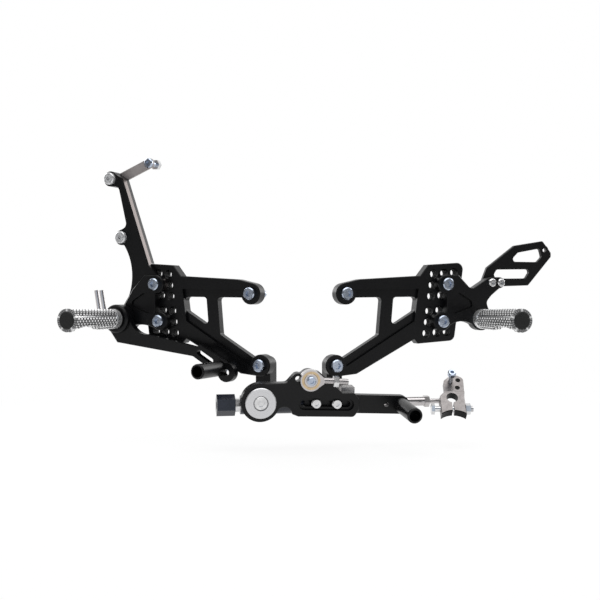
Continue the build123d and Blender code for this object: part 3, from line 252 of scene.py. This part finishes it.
metal("brass", (0.46, 0.34, 0.20), (0.68, 0.54, 0.36), 1.0, (0.18, 0.34), 0.004, 0.0005, 0.000008)
metal("grey_block", (0.42, 0.41, 0.41), (0.62, 0.60, 0.60), 0.9, (0.40, 0.55), 0.006, 0.0006, 0.00003)
print("finishes so far:", ", ".join(finishes))

# %% [markdown]
# Brushed sheet and the turned disc
#
# The reservoir stay is stainless sheet that was brushed along its length, so its grain is stretched
# along the strip. The disc over the gear lever's pivot was faced on a lathe: its grooves are rings
# about the pivot. A ring pattern needs the distance from the pivot's axis, which is the length of what
# is left of the place after the part along the axis is taken away.

# %% Brushed sheet and turned disc
pivot = joints["gear_lever_swing"]
pivot_place = Vector(pivot["pos_m"])
pivot_line = Vector(pivot["axis"])
GROOVE = 0.00045
GROOVE_DEPTH = 0.00005

metal("stainless_sheet", (0.28, 0.25, 0.24), (0.42, 0.39, 0.38), 0.6, (0.40, 0.58), 0.015, 0.0006, 0.00001,
      stretch=(0.15, 1.0, 1.0))

material, bench, shader, place = start_finish("brushed_aluminium")
from_pivot = bench.vector("SUBTRACT", place, pivot_place)
rise = bench.vector("DOT_PRODUCT", from_pivot, pivot_line, "Value")
flat = bench.vector("SUBTRACT", from_pivot, bench.scaled(tuple(pivot_line), rise))
radius = bench.vector("LENGTH", flat, output="Value")
ring_noise = bench.get("ShaderNodeTexNoise", {"noise_dimensions": "1D"},
                       {"W": radius, "Scale": 1.0 / GROOVE, "Detail": 3.0})
feed(bench, shader, "Base Color", blend_tones(bench, ring_noise, (0.46, 0.46, 0.47), (0.76, 0.76, 0.77)))
feed(bench, shader, "Roughness", 0.22 + 0.16 * ring_noise)
shader.inputs["Metallic"].default_value = 1.0
set_relief(bench, shader, ring_noise, GROOVE_DEPTH)
finishes["brushed_aluminium"] = material
print("rings of the disc run round", [round(value, 4) for value in pivot_place])

# %% [markdown]
# Two pieces with painted shade and painted sheen
#
# The clamp arm is a casting: its face is a rough pinkish grey, while its bore, its holes and the arch
# under its jaws get a painted shade, a near-black colour where shade falls. The black arm of the brake
# cylinder gets a painted sheen: a grey-brown metal band down its side that faces right, near its front.
# Both finishes find the place by measuring along the piece's own directions, and by the way that the surface
# faces.

# %% The clamp arm's casting with painted shade and the cylinder arm's painted sheen
UP = Vector((0.0, 0.0, 1.0))
SET_YAW = math.radians(21.0)
clamp = mounts["shift_shaft_clamp"]
bore_line = Vector(clamp["axis"])
clamp_side = UP.cross(bore_line).normalized()
clamp_up = bore_line.cross(clamp_side)
TAB_HOLES = ((0.00896, 0.02441), (0.0073, 0.01471))
TAB_HOLE_RADIUS = 0.0025
SKIN = 0.0001
UNDERSIDE = 0.45
SQUARE_ON = 0.8
# Painted shade: the near-black colour of the clamp's bore, holes and the underside of its jaws.
PAINTED_SHADE_TONE = (0.008, 0.008, 0.008)
# Painted sheen: the grey-brown tone of the cylinder arm's side that faces right.
PAINTED_SIDE_SHEEN = (0.150, 0.132, 0.127)


def facing(bench, way, limit):
    """One where the surface faces a way, and nothing elsewhere."""
    normal = bench.get("ShaderNodeNewGeometry", output="Normal")
    return bench.math("GREATER_THAN", bench.vector("DOT_PRODUCT", normal, way, "Value"), limit)


def in_hole(bench, across, along, spot, radius):
    """One on the wall of a hole, and nothing outside it."""
    squares = (across - spot[0]) * (across - spot[0]) + (along - spot[1]) * (along - spot[1])
    return bench.math("LESS_THAN", squares, (radius + SKIN) ** 2)


bench, shader, place, tone = metal("cast_aluminium", (0.13, 0.12, 0.118), (0.31, 0.29, 0.285), 1.0,
                                   (0.28, 0.46), 0.005, 0.0016, 0.00008)
from_bore = bench.vector("SUBTRACT", place, Vector(clamp["pos_m"]))
across = bench.vector("DOT_PRODUCT", from_bore, clamp_side, "Value")
along = bench.vector("DOT_PRODUCT", from_bore, clamp_up, "Value")
walls = [in_hole(bench, across, along, spot, TAB_HOLE_RADIUS) for spot in TAB_HOLES]
walls.append(in_hole(bench, across, along, (0.0, 0.0), clamp["dims"]["r_mm"] / 1000))
# Painted shade where the clamp faces down and on the walls of its holes and bore.
painted_shade_place = larger(facing(bench, -clamp_up, UNDERSIDE), *walls)
feed(bench, shader, "Base Color", blend_tones(bench, painted_shade_place, tone, PAINTED_SHADE_TONE))

# How far back from the arm's front the painted sheen reaches on its right side.
SHEEN_BAND = 0.0075
arm_out = Vector((-math.sin(SET_YAW), -math.cos(SET_YAW), 0.0))
arm_right = arm_out.cross(UP) * -1.0
arm_front = max(Vector(vertex.co).dot(arm_out) for vertex in nodes["cylinder_arm"].data.vertices)
bench, shader, place, tone = metal("sheen_painted_arm", *BLACK)
depth = bench.vector("DOT_PRODUCT", place, arm_out, "Value")
# Painted sheen: grey-brown metal on the side facing right, near the front.
painted_sheen_or_bare = facing(bench, arm_right, SQUARE_ON) * bench.math("GREATER_THAN", depth, arm_front - SHEEN_BAND)
feed(bench, shader, "Base Color", blend_tones(bench, painted_sheen_or_bare, tone, PAINTED_SIDE_SHEEN))
feed(bench, shader, "Metallic", painted_sheen_or_bare)
print("the bare band is", SHEEN_BAND * 1000, "mm wide")

# %% [markdown]
# Which solid gets which finish
#
# Each solid names its material in the record, and most finishes bear that name. A few pieces of the same
# steel look different in the photograph: the screws on the black parts are bright nickel, those of the
# frame bluish zinc, and the coupler is blued. So these have a finish of their own.

# %% Give every solid its finish
NICKEL = ("heel_guard_screws", "toe_arm_screws", "pivot_bolt", "pinch_bolt", "pinch_nut",
          "coupler_nut", "rod_end_nut", "stay_nut")
own_finish = {node: "nickel_steel" for node in NICKEL}
own_finish.update({"rod_coupler": "blued_steel", "cylinder_arm": "sheen_painted_arm", "rod_stud": "polished_steel",
                   "cylinder_bolts": "turned_steel"})
for part in record["subparts"]:
    slots = nodes[part["node"]].data.materials
    slots.clear()
    slots.append(finishes[own_finish.get(part["node"], part["material_slot"])])
print("finished", len(record["subparts"]), "solids")

# %% [markdown]
# Teeth of the foot pegs
#
# A racing foot peg is milled with bands of small diamond teeth, so that a boot grips it, and smooth
# strips stay between the bands. Hundreds of teeth are too many to place by hand. A geometry tree lays
# points on a grid round the peg's axis, every other column of it moved on by half a tooth, and shoots a ray
# from each point at the bar. Where the ray lands, a diamond stands up along the surface, also in the hollow
# underneath and, lower, on the lip at the end. Each tooth keeps its lift, from foot to top, because its
# colour is a painted shade, dark at the foot and between the teeth, that grows bright towards their tops.

# %% A tree of teeth
def open_tree(name, inputs):
    """A geometry tree with named inputs, its bench, and a wire for each input."""
    tree = bpy.data.node_groups.new(name, "GeometryNodeTree")
    for label, kind in inputs.items():
        tree.interface.new_socket(label, in_out="INPUT", socket_type=kind)
    tree.interface.new_socket("Geometry", in_out="OUTPUT", socket_type="NodeSocketGeometry")
    bench = Bench(tree)
    source = bench.add("NodeGroupInput")
    return tree, bench, {label: bench.wire(source, label) for label in inputs}


def close_tree(bench, geometry, material):
    """Realize what was placed, give it its material and end the tree."""
    real = bench.get("GeometryNodeRealizeInstances", None, {"Geometry": geometry})
    finished = bench.get("GeometryNodeSetMaterial", None, {"Geometry": real, "Material": material})
    bench.add("NodeGroupOutput", None, {"Geometry": finished})


TOOTH_INPUTS = {
    "Peg": "NodeSocketObject",
    "Base": "NodeSocketVector",
    "Axis": "NodeSocketVector",
    "Side": "NodeSocketVector",
    "Lip": "NodeSocketFloat",
    "End": "NodeSocketFloat",
    "Pitch": "NodeSocketFloat",
    "Rows": "NodeSocketInt",
    "Columns": "NodeSocketInt",
    "Strip every": "NodeSocketInt",
    "Tooth length": "NodeSocketFloat",
    "Tooth width": "NodeSocketFloat",
    "Tooth height": "NodeSocketFloat",
    "Finish": "NodeSocketMaterial",
}
REACH = 0.02
LIP_SHARE = 0.6
FOOT_RADIUS = 0.5
TOP_RADIUS = 0.12


def tooth_tree():
    """Diamond teeth on a grid round a bar, with bare strips between them."""
    tree, bench, given = open_tree("peg teeth", TOOTH_INPUTS)
    count = given["Rows"] * given["Columns"]
    points = bench.get("GeometryNodePoints", None, {"Count": count})
    index = bench.get("GeometryNodeInputIndex")
    row = bench.math("FLOOR", index / given["Columns"])
    column = index - row * given["Columns"]
    angle = column * (2 * math.pi) / given["Columns"]
    up = bench.vector("CROSS_PRODUCT", given["Axis"], given["Side"])
    outward = bench.vector(
        "ADD",
        bench.scaled(given["Side"], bench.math("COSINE", angle)),
        bench.scaled(up, bench.math("SINE", angle)),
    )
    along = given["End"] - (row + 0.5 + 0.5 * bench.math("MODULO", column, 2.0)) * given["Pitch"]
    centre = bench.vector("ADD", given["Base"], bench.scaled(given["Axis"], along))
    bar = bench.get("GeometryNodeObjectInfo", None, {"Object": given["Peg"]}, "Geometry")
    ray = bench.add("GeometryNodeRaycast", None, {
        "Target Geometry": bar,
        "Source Position": bench.vector("ADD", centre, bench.scaled(outward, REACH)),
        "Ray Direction": bench.scaled(outward, -1.0),
        "Ray Length": REACH,
    })
    toothed = bench.math("GREATER_THAN", bench.math("MODULO", column, given["Strip every"]), 0.5)
    on_lip = bench.math("GREATER_THAN", along, given["Lip"])
    size = bench.get("ShaderNodeCombineXYZ", None,
                     {"X": given["Tooth length"], "Y": given["Tooth width"],
                      "Z": given["Tooth height"] * (1.0 - (1.0 - LIP_SHARE) * on_lip)})
    upright = bench.get("FunctionNodeAlignRotationToVector", {"axis": "Z"},
                        {"Vector": bench.wire(ray, "Hit Normal")})
    lined_up = bench.get("FunctionNodeAlignRotationToVector", {"axis": "X", "pivot_axis": "Z"},
                         {"Rotation": upright, "Vector": given["Axis"]})
    placed = bench.get("GeometryNodeSetPosition", None,
                       {"Geometry": points, "Position": bench.wire(ray, "Hit Position")})
    diamond = bench.get("GeometryNodeMeshCone", None,
                        {"Vertices": 4, "Radius Top": TOP_RADIUS, "Radius Bottom": FOOT_RADIUS, "Depth": 1.0},
                        "Mesh")
    lift = bench.get("ShaderNodeSeparateXYZ", None, {0: bench.get("GeometryNodeInputPosition")}, "Z")
    measured = bench.get("GeometryNodeStoreNamedAttribute", {"data_type": "FLOAT", "domain": "POINT"},
                         {"Geometry": diamond, "Name": "lift", "Value": lift})
    teeth = bench.get("GeometryNodeInstanceOnPoints", None, {
        "Points": placed,
        "Selection": bench.wire(ray, "Is Hit") * toothed,
        "Instance": measured,
        "Rotation": lined_up,
        "Scale": size,
    })
    close_tree(bench, teeth, given["Finish"])
    return tree


def grown(name, tree, values):
    """A plain mesh made by a geometry tree with these inputs."""
    maker = bpy.data.objects.new(name, bpy.data.meshes.new(name))
    bpy.context.scene.collection.objects.link(maker)
    modifier = maker.modifiers.new("made", "NODES")
    modifier.node_group = tree
    for item in tree.interface.items_tree:
        if item.in_out == "INPUT":
            modifier[item.identifier] = values[item.name]
    evaluated = maker.evaluated_get(bpy.context.evaluated_depsgraph_get())
    mesh = bpy.data.meshes.new_from_object(evaluated)
    maker.modifiers.remove(modifier)
    maker.data = mesh
    return maker


print("a peg's teeth take", len(TOOTH_INPUTS), "inputs")

# %% Finishes of the pegs
PEG_COLLAR = 0.0075
PEG_LIP = 0.003
TOOTH_PITCH = 0.005
TOOTH_COLUMNS = 30
STRIP_EVERY = 6
TOOTH_LENGTH = 0.0049
TOOTH_WIDTH = 0.0037
TOOTH_HEIGHT = 0.0011
# Painted shade: the dark colour at the foot of the teeth and on the bar between them.
TEETH_PAINTED_SHADE = (0.022, 0.022, 0.024)
BRIGHT = (0.95, 0.95, 0.95)
LIP_TOP = 0.45
# Painted shade in the grooves between the teeth of the lip.
LIP_GROOVE_SHADE = 0.4

material, bench, shader, place = start_finish("peg_teeth")
lift = bench.get("ShaderNodeAttribute", {"attribute_name": "lift"}, output="Fac")
spots = noise(bench, place, 0.0012)
# Painted shade: dark at the foot of each tooth, bright at its top.
feed(bench, shader, "Base Color", blend_tones(bench, bench.math("POWER", lift, 1.3), TEETH_PAINTED_SHADE, BRIGHT))
feed(bench, shader, "Roughness", 0.16 + 0.2 * spots)
shader.inputs["Metallic"].default_value = 0.75
set_relief(bench, shader, spots, 0.00002)
finishes["peg_teeth"] = material


def peg_finish(name, base, axis, low, high):
    """A bar with a painted shade where its teeth stand and between the teeth of its lip, and bright on its
    strips, its collar and its lip.
    """
    material, bench, shader, place = start_finish(name)
    from_base = bench.vector("SUBTRACT", place, base)
    along = bench.vector("DOT_PRODUCT", from_base, axis, "Value")
    up = bench.wire(bench.add("ShaderNodeSeparateXYZ", None, {0: from_base}), "Z")
    side = bench.vector("DOT_PRODUCT", from_base, axis.cross(UP), "Value")
    column = bench.math("ARCTAN2", side, up) * (TOOTH_COLUMNS / (2 * math.pi))
    strip = bench.math("LESS_THAN", bench.math("PINGPONG", column, STRIP_EVERY / 2), 0.5)
    collar = bench.math("LESS_THAN", along, low + PEG_COLLAR)
    # Painted shade: darker between the teeth on the lip.
    groove_shade = 2.0 * bench.math("PINGPONG", column, 0.5)
    lip = bench.math("GREATER_THAN", along, high - PEG_LIP) * (LIP_TOP - LIP_GROOVE_SHADE * groove_shade)
    scratches = noise(bench, place, 0.0009, 3.0)
    painted_sheen_or_bare = larger(strip, collar, lip) * (0.75 + 0.25 * scratches)
    # Painted shade where the teeth stand; the bare strips, collar and lip stay bright.
    feed(bench, shader, "Base Color", blend_tones(bench, painted_sheen_or_bare, TEETH_PAINTED_SHADE, BRIGHT))
    feed(bench, shader, "Roughness", 0.26 + 0.24 * scratches)
    shader.inputs["Metallic"].default_value = 0.85
    set_relief(bench, shader, scratches, 0.00001)
    finishes[name] = material


print("pegs have", TOOTH_COLUMNS, "columns of teeth with a strip at every", STRIP_EVERY)

# %% Teeth on both pegs
SIDES = {"gear": 1.0, "brake": -1.0}
teeth_tree = tooth_tree()


def set_ways(hand):
    """The directions of one side's set: out of its plate, and along it to the rear."""
    outward = Vector((hand * math.sin(SET_YAW), -math.cos(SET_YAW), 0.0))
    rearward = Vector((hand * math.cos(SET_YAW), math.sin(SET_YAW), 0.0))
    return outward, rearward


def span(node, base, line):
    """The lowest and highest place of a solid along a line."""
    places = [(Vector(vertex.co) - base).dot(line) for vertex in nodes[node].data.vertices]
    return min(places), max(places)


brake_axis_place = Vector(joints["brake_pedal_swing"]["pos_m"])
bolt_gap = mounts["brake_upper_bolt"]["pos_m"][0]
for side, hand in SIDES.items():
    peg = nodes[f"{side}_foot_peg"]
    outward = set_ways(hand)[0]
    base = brake_axis_place.copy()
    if side == "gear":
        base.x = bolt_gap - base.x
    low, high = span(peg.name, base, outward)
    peg_finish(f"{side}_peg_bar", base, outward, low, high)
    peg.data.materials.clear()
    peg.data.materials.append(finishes[f"{side}_peg_bar"])
    rows = int((high - low - PEG_COLLAR) / TOOTH_PITCH)
    teeth = grown(f"{side}_peg_teeth", teeth_tree, {
        "Peg": peg,
        "Base": base,
        "Axis": outward,
        "Side": UP,
        "Lip": high - PEG_LIP,
        "End": high,
        "Pitch": TOOTH_PITCH,
        "Rows": rows,
        "Columns": TOOTH_COLUMNS,
        "Strip every": STRIP_EVERY,
        "Tooth length": TOOTH_LENGTH,
        "Tooth width": TOOTH_WIDTH,
        "Tooth height": TOOTH_HEIGHT,
        "Finish": finishes["peg_teeth"],
    })
    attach(teeth, "root")
    print(side, "peg:", rows, "rows of teeth,", len(teeth.data.polygons), "faces")

# %% [markdown]
# Threads
#
# The rod end, the clamp arm's bolts, the stud and the frame bolts show their threads, and so do the
# adjuster holes of both brackets, eighteen a side in a leaning grid. A thread is a ridge on a spiral:
# the tree sweeps a small round profile along a spiral curve, turns it to the axis and sets it on each
# point of a grid. One tree serves all, and a single bolt is a grid of one point.

# %% A tree for threads
THREAD_INPUTS = {
    "Start": "NodeSocketVector",
    "Count": "NodeSocketInt",
    "Columns": "NodeSocketInt",
    "Rows": "NodeSocketInt",
    "Column step": "NodeSocketVector",
    "Row step": "NodeSocketVector",
    "Group step": "NodeSocketVector",
    "Axis": "NodeSocketVector",
    "Radius": "NodeSocketFloat",
    "Pitch": "NodeSocketFloat",
    "Length": "NodeSocketFloat",
    "Finish": "NodeSocketMaterial",
}
RIDGE_SHARE = 0.3
STEPS_A_TURN = 20
RIDGE_SIDES = 6


def thread_tree():
    """A ridge on a spiral, set on every point of a grid."""
    tree, bench, given = open_tree("thread", THREAD_INPUTS)
    spiral = bench.get("GeometryNodeCurveSpiral", None, {
        "Resolution": STEPS_A_TURN,
        "Rotations": given["Length"] / given["Pitch"],
        "Start Radius": given["Radius"],
        "End Radius": given["Radius"],
        "Height": given["Length"],
    })
    ridge = bench.get("GeometryNodeCurvePrimitiveCircle", None,
                      {"Resolution": RIDGE_SIDES, "Radius": given["Pitch"] * RIDGE_SHARE})
    swept = bench.get("GeometryNodeCurveToMesh", None,
                      {"Curve": spiral, "Profile Curve": ridge, "Fill Caps": True})
    turn = bench.get("FunctionNodeAlignRotationToVector", {"axis": "Z"}, {"Vector": given["Axis"]})
    index = bench.get("GeometryNodeInputIndex")
    line = bench.math("FLOOR", index / given["Columns"])
    group = bench.math("FLOOR", line / given["Rows"])
    place = given["Start"]
    for step, times in (("Column step", index - line * given["Columns"]),
                        ("Row step", line - group * given["Rows"]), ("Group step", group)):
        place = bench.vector("ADD", place, bench.scaled(given[step], times))
    points = bench.get("GeometryNodePoints", None, {"Count": given["Count"], "Position": place})
    placed = bench.get("GeometryNodeInstanceOnPoints", None,
                       {"Points": points, "Instance": swept, "Rotation": turn})
    close_tree(bench, placed, given["Finish"])
    return tree


screw_thread = thread_tree()
SINGLE = {"Count": 1, "Columns": 1, "Rows": 1}
NO_STEPS = {"Column step": Vector(), "Row step": Vector(), "Group step": Vector()}


def add_thread(name, body, start, axis, radius, pitch, length, finish, grid=None):
    """A thread on a bare shank or hole from start along axis, or a grid of equal ones."""
    thread = grown(name, screw_thread, {
        **SINGLE,
        **NO_STEPS,
        **(grid or {}),
        "Start": start,
        "Axis": axis,
        "Radius": radius,
        "Pitch": pitch,
        "Length": length,
        "Finish": finishes[finish],
    })
    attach(thread, body)
    print(name, "has", len(thread.data.polygons), "faces")


print("the thread tree has", len(screw_thread.nodes), "nodes")

# %% Threads that show
COARSE_PITCH = 0.00125
SINK = 0.0002
SHANK_END = 0.0005
BOLT_MARGIN = 0.001
for side in SIDES:
    bolt = mounts[f"{side}_upper_bolt"]
    size = bolt["dims"]
    line = Vector(bolt["axis"])
    add_thread(f"{side}_frame_bolt_thread", "root", Vector(bolt["pos_m"]) + line * BOLT_MARGIN,
               line, size["r_mm"] / 1000 - SINK, COARSE_PITCH, size["length_mm"] / 1000 - 2 * BOLT_MARGIN,
               "zinc_steel")


def axis_point(node, line):
    """A point on the axis of a turned solid, halfway between its sides."""
    first = line.orthogonal().normalized()
    second = line.cross(first)
    return sum((way * (sum(span(node, Vector(), way)) / 2) for way in (first, second)), Vector())


def thread_end(node, body, line, radius, pitch, length):
    """A thread over the last part of a bolt, up to the end that the line points to."""
    start = axis_point(node, line) + line * (span(node, Vector(), line)[1] - length - SHANK_END)
    add_thread(f"{node}_thread", body, start, line, radius, pitch, length, "polished_steel")


stud = mounts["rod_stud_end"]
stud_length = stud["dims"]["length_mm"] / 1000 - BOLT_MARGIN
M5_RIDGE, M6_RIDGE, M6_PITCH = 0.0024, 0.0029, 0.001
thread_end("rod_stud", "root", Vector(stud["axis"]), M5_RIDGE, pitch=0.0009, length=stud_length)
thread_end("pinch_bolt", "root", clamp_side, M6_RIDGE, M6_PITCH, length=0.01)
thread_end("link_bolt", "root", -bore_line, M5_RIDGE, pitch=0.0008, length=0.016)

swivel = Vector(joints["rod_end_swivel"]["pos_m"])
reaches = [Vector(vertex.co) - swivel for vertex in nodes["rod_end"].data.vertices]
tip = max(reaches, key=lambda reach: reach.length)
shank_end = [reach for reach in reaches if reach.length > tip.length - 0.001]
shank_line = sum(shank_end, Vector()).normalized()
ROD_END_NECK = 0.0145
add_thread("rod_end_thread", "rod_end_body", swivel + shank_line * ROD_END_NECK, shank_line, M6_RIDGE,
           M6_PITCH, tip.length - ROD_END_NECK - SHANK_END, "polished_steel")

# %% Threads of the adjuster holes
UPPER_HOLE = Vector((0.11048, 0.01031))
LOWER_HOLE = Vector((0.10492, -0.02931))
HOLE_PITCH = 0.012
ROW_SLOPE = math.radians(4.0)
COLUMN_SLOPE = math.radians(82.0)
PLATE_THICK = 0.012
HOLE_MOUTH = 0.0008
HOLE_RIDGE = 0.0043
HOLE_COLUMNS, HOLE_ROWS, HOLE_GROUPS = 3, 3, 2
for side, hand in SIDES.items():
    outward, rearward = set_ways(hand)
    column_step = (rearward * math.cos(ROW_SLOPE) + UP * math.sin(ROW_SLOPE)) * HOLE_PITCH
    row_step = (rearward * math.cos(COLUMN_SLOPE) + UP * math.sin(COLUMN_SLOPE)) * HOLE_PITCH
    group = UPPER_HOLE - LOWER_HOLE
    middle_hole = rearward * LOWER_HOLE.x + UP * LOWER_HOLE.y + outward * (PLATE_THICK - HOLE_MOUTH)
    first_hole = Vector(mounts[f"{side}_upper_bolt"]["pos_m"]) + middle_hole - column_step - row_step
    add_thread(f"{side}_adjuster_threads", "root", first_hole, -outward, HOLE_RIDGE, COARSE_PITCH,
               PLATE_THICK - 2 * HOLE_MOUTH, "black_anodised", {
                   "Count": HOLE_COLUMNS * HOLE_ROWS * HOLE_GROUPS,
                   "Columns": HOLE_COLUMNS,
                   "Rows": HOLE_ROWS,
                   "Column step": column_step,
                   "Row step": row_step,
                   "Group step": rearward * group.x + UP * group.y,
               })

# %% [markdown]
# Camera
#
# The photograph was taken nearly straight from the front, at the height of the upper frame bolts.
# The camera stands there, level, with the lens that gives the same picture on a square frame.

# %% Camera
CAMERA_PLACE = Vector((0.0054, -0.9487, -0.00655))
CAMERA_YAW = math.radians(3.0)
FOCAL_PIXELS = 904.76
FRAME_PIXELS = 600
lens = bpy.data.cameras.new("camera")
lens.sensor_fit = "HORIZONTAL"
lens.angle = 2 * math.atan(FRAME_PIXELS / 2 / FOCAL_PIXELS)
camera = bpy.data.objects.new("camera", lens)
camera.location = CAMERA_PLACE
camera.rotation_euler = (math.pi / 2, 0.0, CAMERA_YAW)
bpy.context.scene.collection.objects.link(camera)
bpy.context.scene.camera = camera
print("the camera sees", round(math.degrees(lens.angle), 1), "degrees")

# %% [markdown]
# Table, lamps and surroundings
#
# Black parts show what they reflect. On a white table they stay black in front, where the room is dark,
# and their edges and sides turn grey, where they see the white paper behind. One soft lamp hangs above
# and two stand behind the table, left and right, outside the picture. A cool window behind the camera
# gives the zinc its blue.

# %% Table
FLOOR_GAP = 0.002
FLOOR_SIZE = 6.0
SHADOW_EDGE = (0.2, 0.6)
NEAR_WHITE = 0.88


def lowest_turned(joint, degrees):
    """How low a joint's pieces come when it turns by an angle."""
    pivot = Vector(joint["pos_m"])
    turn = Matrix.Rotation(math.radians(degrees), 3, Vector(joint["axis"]))
    body = frame["bodies"][joint["child"]]
    riders = [node.data for node in nodes.values() if node.parent is body]
    return min((turn @ (vertex.co - pivot) + pivot).z for mesh in riders for vertex in mesh.vertices)


middle = [(low + high) / 2 for low, high in zip(*cad_box)]
reached = [lowest_turned(joint, limit) for joint in joints.values() for limit in joint["range_deg"]]
floor_level = min(cad_box[0][2], *reached) - FLOOR_GAP
corners = [(FLOOR_SIZE * x, FLOOR_SIZE * y, floor_level) for x, y in ((-1, -1), (1, -1), (1, 1), (-1, 1))]
table_mesh = bpy.data.meshes.new("table")
table_mesh.from_pydata(corners, [], [(0, 1, 2, 3)])
table = bpy.data.objects.new("table", table_mesh)
bpy.context.scene.collection.objects.link(table)

paper = bpy.data.materials.new("paper")
paper.use_nodes = True
bench = Bench(paper.node_tree)
shader = paper.node_tree.nodes["Principled BSDF"]
shader.inputs["Base Color"].default_value = (0.9, 0.9, 0.9, 1.0)
shader.inputs["Roughness"].default_value = 0.9
shader.inputs["Specular IOR Level"].default_value = 0.0
rays = bench.add("ShaderNodeLightPath")
seen = larger(*(bench.wire(rays, kind) for kind in ("Is Camera Ray", "Is Transmission Ray", "Is Glossy Ray")))
place = bench.get("ShaderNodeTexCoord", output="Object")
distance = bench.vector("LENGTH", bench.vector("SUBTRACT", place, (middle[0], middle[1], floor_level)),
                        output="Value")
far = bench.fade(distance, *SHADOW_EDGE, NEAR_WHITE, 1.0)
white = bench.get("ShaderNodeEmission", None, {"Color": (1.0, 1.0, 1.0, 1.0), "Strength": 1.0})
mixed = bench.get("ShaderNodeMixShader", None,
                  {0: seen * far, 1: Wire(bench, shader.outputs["BSDF"]), 2: white})
bench.tree.links.new(mixed.socket, paper.node_tree.nodes["Material Output"].inputs["Surface"])
table_mesh.materials.append(paper)
print("the table lies at", round(floor_level, 4), "under a kit that starts at", round(cad_box[0][2], 4))

# %% Lamps
def soft_lamp(name, place, target, size, power):
    """A soft lamp, width by height in metres, that points at a target."""
    data = bpy.data.lights.new(name, "AREA")
    data.shape = "RECTANGLE"
    data.size, data.size_y = size
    data.energy = power
    lamp = bpy.data.objects.new(name, data)
    lamp.location = place
    lamp.rotation_euler = (Vector(target) - Vector(place)).to_track_quat("-Z", "Y").to_euler()
    bpy.context.scene.collection.objects.link(lamp)


soft_lamp("top", (0.0, -0.35, 1.35), middle, (1.8, 1.2), 11.0)
soft_lamp("left", (-1.05, 0.95, 0.6), middle, (0.8, 0.9), 6.0)
soft_lamp("right", (1.05, 0.95, 0.6), middle, (0.8, 0.9), 6.0)
print("lamps:", ", ".join(light.name for light in bpy.data.lights))

# %% Surroundings
FRONT, BACKDROP, BACK = -0.75, -0.2, 0.35
DARK_ROOM, PALE_PAPER = 0.10, 0.95
WINDOW_EDGE, WINDOW_LIGHT = (0.84, 0.97), 0.9
WINDOW_TONE = (0.70, 0.83, 1.0)
WHITE = (1.0, 1.0, 1.0)
world = bpy.data.worlds.new("studio")
world.use_nodes = True
bpy.context.scene.world = world
bench = Bench(world.node_tree)
way = bench.get("ShaderNodeTexCoord", output="Generated")
parts = bench.add("ShaderNodeSeparateXYZ", None, {0: way})
behind = bench.wire(parts, "Y") + bench.wire(parts, "Z") * 0.4
paper_light = bench.fade(behind, FRONT, BACK, DARK_ROOM, PALE_PAPER)
window = bench.fade(-1.0 * bench.wire(parts, "Y"), *WINDOW_EDGE, 0.0, WINDOW_LIGHT)
backdrop = bench.fade(behind, BACKDROP, BACK)
rays = bench.add("ShaderNodeLightPath")
seen = larger(bench.wire(rays, "Is Camera Ray"), bench.wire(rays, "Is Transmission Ray"),
              bench.wire(rays, "Is Glossy Ray") * backdrop)
studio = world.node_tree.nodes["Background"]
bench.tree.links.new((paper_light + window).socket, studio.inputs["Strength"])
sky = blend_tones(bench, window, WHITE, WINDOW_TONE)
bench.tree.links.new(sky.socket, studio.inputs["Color"])
white = bench.get("ShaderNodeBackground", None, {"Color": (1.0, 1.0, 1.0, 1.0), "Strength": 1.0})
mixed = bench.get("ShaderNodeMixShader", None,
                  {0: seen, 1: Wire(bench, studio.outputs["Background"]), 2: white})
bench.tree.links.new(mixed.socket, world.node_tree.nodes["World Output"].inputs["Surface"])
bpy.context.scene.view_settings.view_transform = "Standard"
print("the room goes from", DARK_ROOM, "in front to", PALE_PAPER, "behind")
